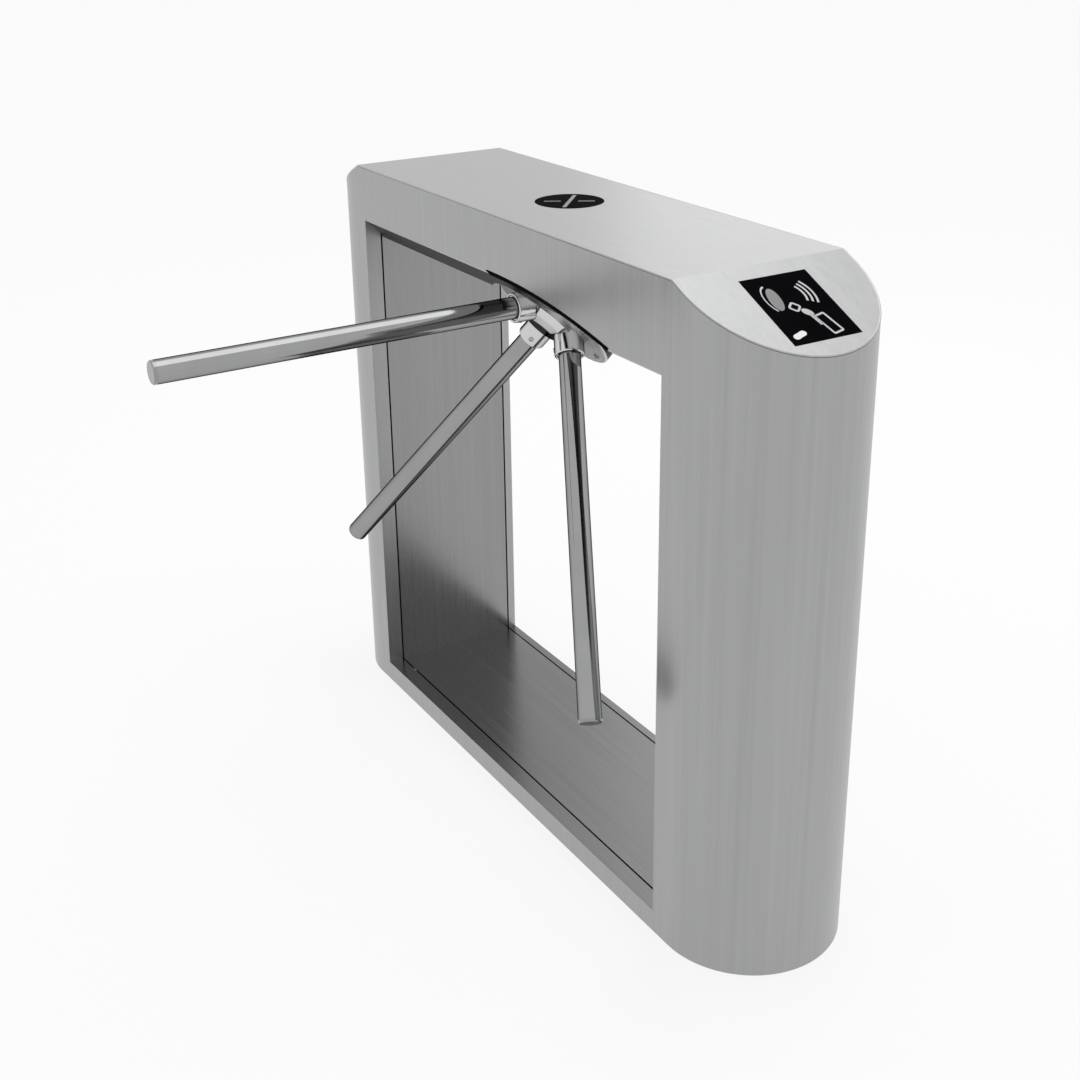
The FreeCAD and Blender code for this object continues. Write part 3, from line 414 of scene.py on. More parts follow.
class Palette:
    """Every finish of the part, made once and found by name."""

    LOOKS_UP = 0.9

    def __init__(self) -> None:
        """Make all materials."""
        steel = (0.405, 0.407, 0.411)
        finishes = [
            BrushedSteel("skin_steel", steel, Grain.UPRIGHT),
            BrushedSteel("cover_steel", steel, Grain.ALONG, roughness=0.36),
            # Jamb liners and gusset: the skin steel darkened to three quarters, painted shade inside the
            # window.
            BrushedSteel("upright_liner_painted_shade_steel", darker(steel, 0.76), Grain.UPRIGHT, roughness=0.24),
            # Sill tray, beam floor and threshold top: the skin steel darkened to about half, painted shade
            # on the window's flat faces.
            BrushedSteel("level_liner_painted_shade_steel", darker(steel, 0.48), Grain.ALONG, roughness=0.24),
            # Scoop panel: the skin steel darkened to a fifth, painted shade for the shadow under the
            # lintel's edge.
            BrushedSteel("scoop_painted_shade_steel", darker(steel, 0.2), Grain.ALONG, roughness=0.3),
            # Window folds and the cover's edge: the steel made brighter than the skin, painted highlight
            # along the rounded edges.
            BrushedSteel("fold_highlight_steel", (0.48, 0.482, 0.486), Grain.EVEN, roughness=0.3),
            SmoothMetal("plain_steel", (0.30, 0.30, 0.31), 0.42, marks_per_metre=220.0),
            SmoothMetal("shroud_steel", (0.30, 0.302, 0.306), 0.36),
            ShadowRimDisc("disc_steel", (0.66, 0.662, 0.666), 0.42),
            SmoothMetal("polished_steel", (0.34, 0.342, 0.346), 0.08, unevenness=0.03, rim_shade=0.06),
            SmoothMetal("cap_steel", (0.30, 0.302, 0.306), 0.12, unevenness=0.03),
            SmoothMetal("chrome_casting", (0.64, 0.643, 0.647), 0.08, unevenness=0.03, mark_depth=0.00003,
                        rim_shade=0.08),
            SmoothMetal("cast_alloy", (0.42, 0.42, 0.42), 0.5, marks_per_metre=500.0, mark_depth=0.00012),
            SmoothMetal("bearing_steel", (0.5, 0.5, 0.5), 0.16),
            SmoothMetal("cage_brass", (0.55, 0.38, 0.14), 0.26),
            SmoothMetal("screw_steel", (0.42, 0.42, 0.43), 0.24),
            SmoothMetal("supply_case", (0.44, 0.45, 0.46), 0.38, marks_per_metre=90.0),
            Moulded("black_paint", (0.016, 0.016, 0.017), 0.42),
            Moulded("black_plastic", (0.018, 0.018, 0.019), 0.5),
            Moulded("black_rubber", (0.014, 0.014, 0.014), 0.72),
            # Near-black strip along the dip's edge: painted shadow for the dark gap under the front lintel.
            Moulded("shadow_gap_strip", (0.004, 0.004, 0.004), 0.85, gloss=0.02),
            Moulded("black_acrylic", (0.004, 0.004, 0.005), 0.12, grain_depth=0.000001, gloss=0.0003),
            Moulded("friction_lining", (0.09, 0.075, 0.06), 0.85, grain_depth=0.0002),
            *[Moulded(name, (shade,) * 3, 0.55, grain_depth=0.00001, mottle=0.7)
              for name, shade in (("sign_print", 0.64), ("grey_print", 0.27), ("faint_print", 0.075))],
            Moulded("bright_print", (0.82, 0.82, 0.80), 0.5, grain_depth=0.00001, mottle=0.9),
            # Vent holes: near-black discs, painted shade for the dark inside behind the holes.
            Moulded("dark_hole", (0.006, 0.006, 0.006), 0.9),
            BoardLayers("circuit_board", deck=0.8676, half_relay=0.0085),
            BoardLayers("lamp_board", deck=0.9665, half_relay=0.1),
        ]
        self.made = {finish.name: finish.material() for finish in finishes}

    def __getitem__(self, name: str) -> Material:
        """Return one finish's material."""
        return self.made[name]

    def coat(self, node: str, name: str) -> None:
        """Give a CAD node one finish all over."""
        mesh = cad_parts[node].data
        mesh.materials.clear()
        mesh.materials.append(self.made[name])
        LOG.info("node %s wears %s", node, name)

    def coat_upper(self, node: str, name: str) -> None:
        """Give the faces of a CAD node that look upwards a second finish."""
        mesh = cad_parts[node].data
        mesh.materials.append(self.made[name])
        for face in mesh.polygons:
            if face.normal.z > self.LOOKS_UP:
                face.material_index = 1
        LOG.info("node %s wears %s on top", node, name)


class Tree(Graph):
    """A Geometry Nodes tree with named inputs, which is turned into a plain mesh."""

    def __init__(self, name: str, sizes: dict[str, float | int]) -> None:
        """Make the tree with its geometry, material and size inputs.

        Args:
            name: Name of the tree.
            sizes: Each size's name and value. A whole number makes a whole-number input.
        """
        super().__init__(bpy.data.node_groups.new(name, "GeometryNodeTree"))
        face = self.tree.interface
        face.new_socket(name="Geometry", in_out="OUTPUT", socket_type="NodeSocketGeometry")
        face.new_socket(name="Geometry", in_out="INPUT", socket_type="NodeSocketGeometry")
        self.values: dict[str, Any] = {}
        for label, value in sizes.items():
            kind = "NodeSocketInt" if isinstance(value, int) else "NodeSocketFloat"
            self.values[face.new_socket(name=label, in_out="INPUT", socket_type=kind).identifier] = value
        finish = face.new_socket(name="Finish", in_out="INPUT", socket_type="NodeSocketMaterial")
        self.finish_id = finish.identifier
        self.entry = self.node("NodeGroupInput").outputs

    def close(self, shape: Socket) -> None:
        """Realize the shape, give it its finish and send it out."""
        real = self.node("GeometryNodeRealizeInstances", {0: shape})
        painted = self.node("GeometryNodeSetMaterial", {"Geometry": real.outputs[0],
                                                        "Material": self.entry["Finish"]})
        self.node("NodeGroupOutput", {0: painted.outputs[0]})

    def grow(self, name: str, seed_mesh: bpy.types.Mesh, finish: Material) -> Piece:
        """Run the tree on a mesh of points or edges.

        Args:
            name: Name of the piece.
            seed_mesh: Points or path that the tree starts from.
            finish: Material of the result.

        Returns:
            The piece as a plain mesh object.
        """
        piece = stand(name, seed_mesh)
        modifier = piece.modifiers.new(self.tree.name, "NODES")
        modifier.node_group = self.tree
        for identifier, value in self.values.items():
            modifier[identifier] = value
        modifier[self.finish_id] = finish
        graph = bpy.context.evaluated_depsgraph_get()
        plain = bpy.data.meshes.new_from_object(piece.evaluated_get(graph), depsgraph=graph)
        piece.modifiers.clear()
        piece.data = plain
        plain.name = name
        return piece


class RoundBead(Tree):
    """Round bar that follows a path, for folds, lips and rims."""

    def __init__(self, name: str, radius: float, sides: int = 12) -> None:
        """Lay a circle along the path's edges."""
        super().__init__(name, {"Radius": radius, "Sides": sides})
        path = self.node("GeometryNodeMeshToCurve", {"Mesh": self.entry["Geometry"]})
        ring = self.node("GeometryNodeCurvePrimitiveCircle", {"Resolution": self.entry["Sides"],
                                                              "Radius": self.entry["Radius"]})
        bar = self.node("GeometryNodeCurveToMesh", {
            "Curve": path.outputs[0], "Profile Curve": ring.outputs[0], "Fill Caps": True})
        self.close(self.node("GeometryNodeSetShadeSmooth", {"Geometry": bar.outputs[0]}).outputs[0])


class SocketScrews(Tree):
    """Cap screws with a hexagon socket, one on each point, facing along the point's own direction."""

    SEED = 11
    HEAD_SIDES = 20
    SOCKET_SIDES = 6
    SOCKET_WIDTH = 0.56
    SOCKET_DEPTH = 0.7

    def __init__(self, name: str, radius: float, height: float) -> None:
        """Turn a head with its socket out of two cylinders and stand it on every point."""
        super().__init__(name, {"Head Radius": radius, "Head Height": height, "Edge": self.HEAD_SIDES,
                                "Socket Radius": radius * self.SOCKET_WIDTH,
                                "Socket Depth": height * self.SOCKET_DEPTH, "Seed": self.SEED})
        head = self.node("GeometryNodeMeshCylinder", {
            "Vertices": self.entry["Edge"], "Radius": self.entry["Head Radius"],
            "Depth": self.entry["Head Height"]})
        hole = self.node("GeometryNodeMeshCylinder", {
            "Vertices": self.SOCKET_SIDES, "Radius": self.entry["Socket Radius"],
            "Depth": self.entry["Socket Depth"]})
        half = self.maths("MULTIPLY", self.entry["Head Height"], 0.5)
        top = self.node("ShaderNodeCombineXYZ", {"Z": half})
        raised = self.node("GeometryNodeTransform",
                           {"Geometry": hole.outputs[0], "Translation": top.outputs[0]})
        drilled = self.node("GeometryNodeMeshBoolean", {0: head.outputs[0], 1: raised.outputs[0]},
                            operation="DIFFERENCE")
        facing = self.node("GeometryNodeInputNamedAttribute", {"Name": "facing"}, data_type="FLOAT_VECTOR")
        aimed = self.node("FunctionNodeAlignRotationToVector", {"Vector": facing.outputs[0]}, axis="Z")
        spin = self.node("FunctionNodeRandomValue", {"Max": math.tau, "Seed": self.entry["Seed"]},
                         data_type="FLOAT")
        turn = self.node("FunctionNodeAxisAngleToRotation",
                         {"Axis": (0.0, 0.0, 1.0), "Angle": spin.outputs[1]})
        posed = self.node("FunctionNodeRotateRotation", {0: aimed.outputs[0], 1: turn.outputs[0]},
                          rotation_space="LOCAL")
        stood = self.node("GeometryNodeInstanceOnPoints", {
            "Points": self.entry["Geometry"], "Instance": drilled.outputs[0], "Rotation": posed.outputs[0]})
        self.close(stood.outputs[0])


class HoleField(Tree):
    """Rows of round holes in a flat sheet, shown as thin dark discs of painted shade for the dark inside."""

    HOLE_SIDES = 10

    def __init__(self, name: str, length: float, width: float, pitch: float, radius: float,
                 lift: float) -> None:
        """Lay a grid of discs about the seed point."""
        columns = int(length / pitch) + 1
        rows = int(width / pitch) + 1
        super().__init__(name, {"Length": length, "Width": width, "Columns": columns, "Rows": rows,
                                "Hole Radius": radius, "Lift": lift})
        grid = self.node("GeometryNodeMeshGrid", {
            "Size X": self.entry["Length"], "Size Y": self.entry["Width"],
            "Vertices X": self.entry["Columns"], "Vertices Y": self.entry["Rows"]})
        disc = self.node("GeometryNodeMeshCylinder", {
            "Vertices": self.HOLE_SIDES, "Radius": self.entry["Hole Radius"], "Depth": self.entry["Lift"]})
        holes = self.node("GeometryNodeInstanceOnPoints",
                          {"Points": grid.outputs[0], "Instance": disc.outputs[0]})
        moved = self.node("GeometryNodeInstanceOnPoints",
                          {"Points": self.entry["Geometry"], "Instance": holes.outputs[0]})
        self.close(moved.outputs[0])


def path_mesh(name: str, points: Sequence[Vector], closed: bool) -> bpy.types.Mesh:
    """Make a chain of edges.

    Args:
        name: Name of the mesh.
        points: Corners in order.
        closed: Whether the last corner joins the first.

    Returns:
        The mesh.
    """
    mesh = bpy.data.meshes.new(name)
    edges = [(index, index + 1) for index in range(len(points) - 1)]
    if closed:
        edges.append((len(points) - 1, 0))
    mesh.from_pydata([tuple(point) for point in points], edges, [])
    return mesh


def point_mesh(name: str, spots: Sequence[Spot]) -> bpy.types.Mesh:
    """Make loose points that each carry the direction they face.

    Args:
        name: Name of the mesh.
        spots: Place and facing direction of each point.

    Returns:
        The mesh.
    """
    mesh = bpy.data.meshes.new(name)
    mesh.from_pydata([tuple(place) for place, _ in spots], [], [])
    facing = mesh.attributes.new("facing", "FLOAT_VECTOR", "POINT")
    for index, (_, direction) in enumerate(spots):
        facing.data[index].vector = direction
    return mesh


def mount(piece: Piece, body: Body) -> Piece:
    """Let a finished piece ride on a body, report it and return it."""
    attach(piece, body.value)
    LOG.info("piece %s rides on %s, %d faces", piece.name, body.value, len(piece.data.polygons))
    return piece


@dataclass
class Assembly:
    """Pieces that belong together, with the CAD nodes among them listed by finish."""

    finishes: dict[str, tuple[str, ...]] = field(default_factory=dict)

    def dress(self, palette: Palette) -> None:
        """Give each CAD node its finish."""
        for finish, nodes in self.finishes.items():
            for node in nodes:
                palette.coat(node, finish)

    def build(self, palette: Palette) -> list[Piece]:
        """Make the pieces that are not in the CAD part, and return them."""
        raise NotImplementedError


@dataclass
class Cabinet(Assembly):
    """Sheet-steel bridge: two round-ended columns, the beam over the window and the sill under it."""

    half_depth: float = 0.138
    window_x: float = 0.432
    sill_top: float = 0.0355
    lintel_high: float = 0.888
    lintel_low: float = 0.852
    dip_start: float = 0.0
    dip_end: float = 0.310
    dip_steps: int = 20
    fold_radius: float = 0.0013
    fold_proud: float = 0.0004
    edging_radius: float = 0.0038
    edging_inset: float = 0.0022
    edging_rise: float = 0.0018
    edging_end: float = -0.055
    edging_tuck: float = 0.006
    fold_sides: int = 10
    edging_sides: int = 16
    finishes: dict[str, tuple[str, ...]] = field(default_factory=lambda: {
        "skin_steel": ("front_skin", "rear_skin", "near_end_skin", "far_end_skin", "threshold_pan"),
        # The liners, sill, beam floor and scoop panel below wear darkened steel: painted shade.
        "upright_liner_painted_shade_steel": ("near_jamb_liner", "far_jamb_liner", "scoop_gusset"),
        "level_liner_painted_shade_steel": ("sill_tray", "beam_floor"),
        "scoop_painted_shade_steel": ("scoop_panel",),
        "plain_steel": ("near_base_plate", "far_base_plate"),
        "black_rubber": ("cable_grommet",),
    })

    def dip(self) -> list[Pair]:
        """Return the corners of the front lintel's dipped edge, as x and z, from its low end up."""
        run = self.dip_end - self.dip_start
        drop = self.lintel_high - self.lintel_low
        radius = (run * run + drop * drop) / (2.0 * drop)
        sweep = math.asin(run / radius)
        corners = []
        for step in range(self.dip_steps + 1):
            angle = sweep * (1.0 - step / self.dip_steps)
            fall = radius * (1.0 - math.cos(angle))
            corners.append((self.dip_start + radius * math.sin(angle), self.lintel_high - fall))
        return corners

    def edging_corners(self) -> list[Vector]:
        """Return the middle line of the black strip of painted shadow, along the dip and then tucked in
        behind the skin.
        """
        y = self.edging_inset - self.half_depth
        line = [Vector((x, y, z + self.edging_rise)) for x, z in self.dip()]
        tucked = Vector((self.edging_end, y + self.edging_tuck, line[-1].z + self.edging_tuck))
        return [*line, tucked]

    def window_corners(self, front: bool) -> list[Vector]:
        """Corners of one window's edge, at the middle of its rounded fold.

        Args:
            front: True for the front window, whose upper edge dips, and False for the rear one.

        Returns:
            The corners in order.
        """
        inset = self.fold_radius - self.fold_proud
        side = self.window_x + inset
        low = self.lintel_low + inset
        high = self.lintel_high + inset
        y = (self.half_depth - inset) * (-1.0 if front else 1.0)
        upper = [(side, low)]
        if front:
            upper += [(x, z + inset) for x, z in self.dip()]
            upper.append((-side, high))
        else:
            upper.append((-side, low))
        outline = [(side, self.sill_top - inset), *upper, (-side, self.sill_top - inset)]
        return [Vector((x, y, z)) for x, z in outline]

    def build(self, palette: Palette) -> list[Piece]:
        """Make the rounded folds round both windows, brightened as painted highlight, and the dip's black
        strip of painted shadow, and return them.
        """
        fold = RoundBead("window_fold", self.fold_radius, self.fold_sides)
        made = []
        for name, front in (("front_window_fold", True), ("rear_window_fold", False)):
            path = path_mesh(name, self.window_corners(front), True)
            made.append(mount(fold.grow(name, path, palette["fold_highlight_steel"]), Body.CABINET))
        # The dip's black strip is painted shadow for the gap under the lintel.
        edging = RoundBead("shadow_gap_strip", self.edging_radius, self.edging_sides)
        path = path_mesh("dip_shadow_strip", self.edging_corners(), False)
        made.append(mount(edging.grow("dip_shadow_strip", path, palette["shadow_gap_strip"]), Body.CABINET))
        return made

    def dress(self, palette: Palette) -> None:
        """Give each CAD node its finish, and the threshold's top the sill's darkened steel of painted shade.
        """
        super().dress(palette)
        palette.coat_upper("threshold_pan", "level_liner_painted_shade_steel")


class Outline:
    """Flat figures of a sign, collected as filled outlines and raised off the panel together."""

    OVAL_STEPS = 32
    ARC_STEP = 7.5
    LEAST_ARC_STEPS = 8
    CORNER_STEPS = 6
    CORNERS = ((1, 1), (-1, 1), (-1, -1), (1, -1))

    def __init__(self) -> None:
        """Start with an empty sign."""
        self.shape = bmesh.new()

    def fill(self, corners: Iterable[Pair]) -> None:
        """Add one filled outline."""
        self.shape.faces.new([self.shape.verts.new((x, y, 0.0)) for x, y in corners])

    def band(self, inner: Sequence[Pair], outer: Sequence[Pair],
             closed: bool) -> None:
        """Add a line between two rows of corners.

        Args:
            inner: Corners along one edge of the line.
            outer: Corners along the other edge, as many.
            closed: Whether the line runs back to its start.
        """
        rows = [[self.shape.verts.new((x, y, 0.0)) for x, y in row] for row in (inner, outer)]
        count = len(inner)
        for index in range(count if closed else count - 1):
            after = (index + 1) % count
            self.shape.faces.new((rows[0][index], rows[1][index], rows[1][after], rows[0][after]))

    def arc(self, centre: Pair, radius: float, line: float, start: float, end: float,
            squash: float = 1.0) -> None:
        """Add a round line, short of a whole turn.

        Args:
            centre: Middle of the arc.
            radius: Radius at the line's middle.
            line: Width of the line.
            start: First angle in degrees.
            end: Last angle in degrees.
            squash: Height of the arc against its width.
        """
        sweep = end - start
        steps = max(self.LEAST_ARC_STEPS, int(abs(sweep) / self.ARC_STEP))
        turns = [math.radians(start + sweep * step / steps) for step in range(steps + 1)]
        rows = []
        for reach in (radius - line / 2.0, radius + line / 2.0):
            rows.append([(centre[0] + reach * math.cos(turn), centre[1] + reach * squash * math.sin(turn))
                         for turn in turns])
        self.band(rows[0], rows[1], False)

    def frame(self, centre: Pair, size: Pair, corner: float, line: float,
              turn: float) -> None:
        """Add a turned rectangle with round corners, drawn as a line.

        Args:
            centre: Middle of the rectangle.
            size: Length and width.
            corner: Radius of the corners.
            line: Width of the line.
            turn: Turn in degrees.
        """
        rows = [[], []]
        for row, grow in enumerate((0.0, line)):
            for quarter, (sx, sy) in enumerate(self.CORNERS):
                for step in range(self.CORNER_STEPS + 1):
                    angle = math.radians(90.0 * (quarter + step / self.CORNER_STEPS))
                    x = sx * (size[0] / 2.0 - corner) + (corner - grow) * math.cos(angle)
                    y = sy * (size[1] / 2.0 - corner) + (corner - grow) * math.sin(angle)
                    spot = Matrix.Rotation(math.radians(turn), 2) @ Vector((x, y))
                    rows[row].append((centre[0] + spot.x, centre[1] + spot.y))
        self.band(rows[1], rows[0], True)

    def bar(self, centre: Pair, size: Pair, turn: float) -> "Outline":
        """Add a filled turned rectangle of a length and width, and return the sign."""
        spin = Matrix.Rotation(math.radians(turn), 2)
        spots = [spin @ Vector((sx * size[0] / 2.0, sy * size[1] / 2.0)) for sx, sy in self.CORNERS]
        self.fill([(centre[0] + spot.x, centre[1] + spot.y) for spot in spots])
        return self

    def oval(self, centre: Pair, size: Pair, turn: float,
             waist: float = 0.0) -> "Outline":
        """Add a filled oval.

        Args:
            centre: Middle of the oval.
            size: Length and width.
            turn: Turn in degrees.
            waist: Share by which its width is drawn in at the middle.

        Returns:
            The sign.
        """
        spin = Matrix.Rotation(math.radians(turn), 2)
        corners = []
        for step in range(self.OVAL_STEPS):
            angle = math.tau * step / self.OVAL_STEPS
            pinch = 1.0 - waist * math.sin(angle) ** 4
            spot = spin @ Vector((size[0] / 2.0 * math.cos(angle), size[1] / 2.0 * math.sin(angle) * pinch))
            corners.append((centre[0] + spot.x, centre[1] + spot.y))
        self.fill(corners)
        return self

    def raised(self, name: str, lift: float, where: Matrix, finish: Material) -> Piece:
        """Thicken the sign and lay it on its panel.

        Args:
            name: Name of the piece.
            lift: Thickness of the print.
            where: Frame of the panel's surface.
            finish: Material of the print.

        Returns:
            The piece.
        """
        bmesh.ops.recalc_face_normals(self.shape, faces=self.shape.faces[:])
        for flat in self.shape.faces:
            if flat.normal.z < 0.0:
                flat.normal_flip()
        raised = bmesh.ops.extrude_face_region(self.shape, geom=self.shape.faces[:])
        tops = [item for item in raised["geom"] if isinstance(item, bmesh.types.BMVert)]
        bmesh.ops.translate(self.shape, verts=tops, vec=(0.0, 0.0, lift))
        bmesh.ops.recalc_face_normals(self.shape, faces=self.shape.faces[:])
        self.shape.transform(where)
        mesh = bpy.data.meshes.new(name)
        self.shape.to_mesh(mesh)
        self.shape.free()
        mesh.materials.append(finish)
        return stand(name, mesh)


@dataclass
class Cover(Assembly):
    """Lift-off cover with its rounded edge, two reader windows and a round indicator."""

    top: float = 0.980
    half_depth: float = 0.138
    column_x: float = 0.470
    fold_x: float = 0.450
    end_drop: float = 0.077
    reader_run: float = 0.078
    edge_radius: float = 0.0016
    edge_proud: float = 0.0003
    round_steps: int = 40
    print_lift: float = 0.00015
    print_line: float = 0.0030
    tag_centre: Pair = (-0.0195, -0.0255)
    tag_size: Pair = (0.042, 0.018)
    tag_turn: float = -9.0
    wave_centre: Pair = (-0.021, -0.007)
    wave_radii: tuple[float, ...] = (0.028, 0.035, 0.042)
    wave_angles: Pair = (62.0, 122.0)
    rim_radius: float = 0.0252
    rim_angles: Pair = (186.0, 322.0)
    rim_squash: float = 0.56
    card_centre: Pair = (0.036, 0.019)
    card_size: Pair = (0.038, 0.019)
    card_corner: float = 0.003
    card_turn: float = 12.0
    cuff_centre: Pair = (-0.001, -0.008)
    cuff_size: Pair = (0.015, 0.015)
    cuff_corner: float = 0.004
    palm_centre: Pair = (0.0115, 0.0035)
    palm_size: Pair = (0.017, 0.011)
    hand_turn: float = 42.0
    finger_centre: Pair = (0.0265, 0.0065)
    finger_size: Pair = (0.020, 0.004)
    lamp_centre: Pair = (0.046, -0.034)
    lamp_size: Pair = (0.023, 0.013)
    lamp_turn: float = 108.0
    lamp_waist: float = 0.35
    bar_size: Pair = (0.086, 0.0058)
    bar_turn: float = 137.0
    stub_reach: Pair = (0.013, 0.038)
    stub_width: float = 0.008
    stub_turn: float = 57.0
    finishes: dict[str, tuple[str, ...]] = field(default_factory=lambda: {
        "cover_steel": ("top_cover",),
        "black_acrylic": ("near_reader_window", "far_reader_window", "indicator_lens"),
        "black_plastic": ("near_reader_module", "far_reader_module"),
        "lamp_board": ("indicator_board",),
    })

    def slope(self) -> float:
        """Return the fall of the sloped ends for each metre along the cabinet."""
        return self.end_drop / (self.column_x + self.half_depth - self.fold_x)

    def edge_height(self, x: float) -> float:
        """Return the height of the cover's upper surface at a place along the cabinet."""
        return self.top - max(abs(x) - self.fold_x, 0.0) * self.slope()

    def edge_corners(self) -> list[Vector]:
        """Return the corners of the cover's round-ended upper edge, at the middle of its rounding."""
        inset = self.edge_radius - self.edge_proud
        reach = self.half_depth - inset
        plan = [(-self.fold_x, -reach), (self.fold_x, -reach)]
        for side, start in ((1.0, -90.0), (-1.0, 90.0)):
            for step in range(self.round_steps + 1):
                angle = math.radians(start + 180.0 * step / self.round_steps)
                plan.append((side * self.column_x + reach * math.cos(angle), reach * math.sin(angle)))
            if side > 0.0:
                plan += [(self.fold_x, reach), (-self.fold_x, reach)]
        return [Vector((x, y, self.edge_height(x) - inset)) for x, y in plan]

    def panel(self, side: float) -> Matrix:
        """Return the frame on one reader window: X down the slope, Y across, Z out of the glass."""
        fall = math.atan(self.slope())
        x = self.fold_x + self.reader_run
        down = Vector((side * math.cos(fall), 0.0, -math.sin(fall)))
        out = Vector((side * math.sin(fall), 0.0, math.cos(fall)))
        across = out.cross(down)
        turn = Matrix((down, across, out)).transposed().to_4x4()
        return Matrix.Translation((side * x, 0.0, self.edge_height(x))) @ turn

    def reader_figures(self) -> Outline:
        """Return the bright part of the reader's picture: a hand with a card, waves and a tag's rim."""
        sign = Outline()
        for radius in self.wave_radii:
            sign.arc(self.wave_centre, radius, self.print_line, *self.wave_angles)
        sign.arc(self.tag_centre, self.rim_radius, self.print_line, *self.rim_angles, self.rim_squash)
        sign.frame(self.card_centre, self.card_size, self.card_corner, self.print_line, self.card_turn)
        sign.frame(self.cuff_centre, self.cuff_size, self.cuff_corner, self.print_line, self.hand_turn)
        sign.oval(self.palm_centre, self.palm_size, self.hand_turn)
        return sign.bar(self.finger_centre, self.finger_size, self.card_turn)

    def indicator_stubs(self) -> Outline:
        """Return the two faint bars that stand across the indicator's long one."""
        sign = Outline()
        middle = sum(self.stub_reach) / 2.0
        for turn in (self.stub_turn, self.stub_turn + 180.0):
            angle = math.radians(turn)
            size = (self.stub_reach[1] - self.stub_reach[0], self.stub_width)
            sign.bar((middle * math.cos(angle), middle * math.sin(angle)), size, turn)
        return sign

    def build(self, palette: Palette) -> list[Piece]:
        """Make the rounded edge and the signs, and return them."""
        edge = RoundBead("cover_edge", self.edge_radius)
        path = path_mesh("cover_edge_path", self.edge_corners(), True)
        # The cover's rounded edge wears the brightened fold steel, a painted highlight.
        made = [mount(edge.grow("cover_edge", path, palette["fold_highlight_steel"]), Body.COVER)]
        top = Matrix.Translation((0.0, 0.0, self.top))
        bar = Outline().bar((0.0, 0.0), self.bar_size, self.bar_turn)
        signs = [("indicator_bar", bar, top, "grey_print"),
                 ("indicator_stubs", self.indicator_stubs(), top, "faint_print")]
        for name, side in (("near", 1.0), ("far", -1.0)):
            panel = self.panel(side)
            tag = Outline().oval(self.tag_centre, self.tag_size, self.tag_turn)
            lamp = Outline().oval(self.lamp_centre, self.lamp_size, self.lamp_turn, self.lamp_waist)
            signs.append((name + "_reader_sign", self.reader_figures(), panel, "sign_print"))
            signs.append((name + "_reader_tag", tag, panel, "grey_print"))
            signs.append((name + "_reader_lamp", lamp, panel, "bright_print"))
        for name, figures, where, finish in signs:
            made.append(mount(figures.raised(name, self.print_lift, where, palette[finish]), Body.COVER))
        return made


@dataclass
class Rotor(Assembly):
    """Tripod head, hub disc, three arms and what turns with them inside."""

    axis: HubAxis = HubAxis()
    arm_angles: tuple[float, ...] = (0.0, 120.0, 240.0)
    socket_reach: float = 0.094
    socket_radius: float = 0.023
    lip_radius: float = 0.0022
    lip_steps: int = 40
    disc_screw_ring: float = 0.092
    disc_screw_count: int = 6
    screw_radius: float = 0.0055
    screw_height: float = 0.004
    grub_radius: float = 0.0042
    grub_height: float = 0.002
    grub_reach: float = 0.084
    finishes: dict[str, tuple[str, ...]] = field(default_factory=lambda: {
        "disc_steel": ("hub_disc",), "chrome_casting": ("tripod_head",), "screw_steel": ("shaft_nut",),
        "plain_steel": ("main_shaft", "drive_gear", "motor_pinion", "brake_armature"),
        "friction_lining": ("brake_friction_disc",), "black_plastic": ("encoder_disc",),
        "bearing_steel": ("front_bearing_inner_ring", "rear_bearing_inner_ring"),
        "cage_brass": ("front_bearing_ball_cage", "rear_bearing_ball_cage"),
    })

    def ring_about(self, angle: float, reach: float, radius: float) -> list[Vector]:
        """Circle about one arm.

        Args:
            angle: The arm's turn about the hub axis in degrees.
            reach: Distance from where the arms' lines meet.
            radius: Radius of the circle.

        Returns:
            Points of the circle in order.
        """
        direction = self.axis.arm(angle)
        first = direction.orthogonal().normalized()
        second = direction.cross(first)
        middle = self.axis.on_arm(angle, reach)
        turns = [math.tau * step / self.lip_steps for step in range(self.lip_steps)]
        return [middle + (first * math.cos(turn) + second * math.sin(turn)) * radius for turn in turns]

    def build(self, palette: Palette) -> list[Piece]:
        """Make the sockets' lips, their grub screws and the disc's screws, and return them."""
        lip = RoundBead("socket_lip", self.lip_radius)
        made = []
        grubs = []
        for number, angle in enumerate(self.arm_angles, start=1):
            direction = self.axis.arm(angle)
            path = self.ring_about(angle, self.socket_reach, self.socket_radius - self.lip_radius)
            bead = lip.grow("socket_lip_%d" % number, path_mesh("socket_lip_path", path, True),
                            palette["chrome_casting"])
            made.append(mount(bead, Body.ROTOR))
            out = -self.axis.inwards()
            up = (out - direction * out.dot(direction)).normalized()
            spot = self.axis.on_arm(angle, self.grub_reach) + up * self.socket_radius
            grubs.append((spot, up))
        grub = SocketScrews("grub_screw", self.grub_radius, self.grub_height)
        screw = SocketScrews("disc_screw", self.screw_radius, self.screw_height)
        ring = self.axis.screws(self.disc_screw_ring, self.disc_screw_count, 0.0, 0.0, -1.0)
        for tree, name, spots in ((grub, "arm_grub_screws", grubs), (screw, "disc_screws", ring)):
            piece = tree.grow(name, point_mesh(name + "_spots", spots), palette["screw_steel"])
            made.append(mount(piece, Body.ROTOR))
        return made

    def dress(self, palette: Palette) -> None:
        """Give each turning CAD node its finish, and the arms theirs."""
        super().dress(palette)
        for number in range(1, len(self.arm_angles) + 1):
            palette.coat("arm_tube_%d" % number, "polished_steel")
            palette.coat("arm_cap_%d" % number, "cap_steel")


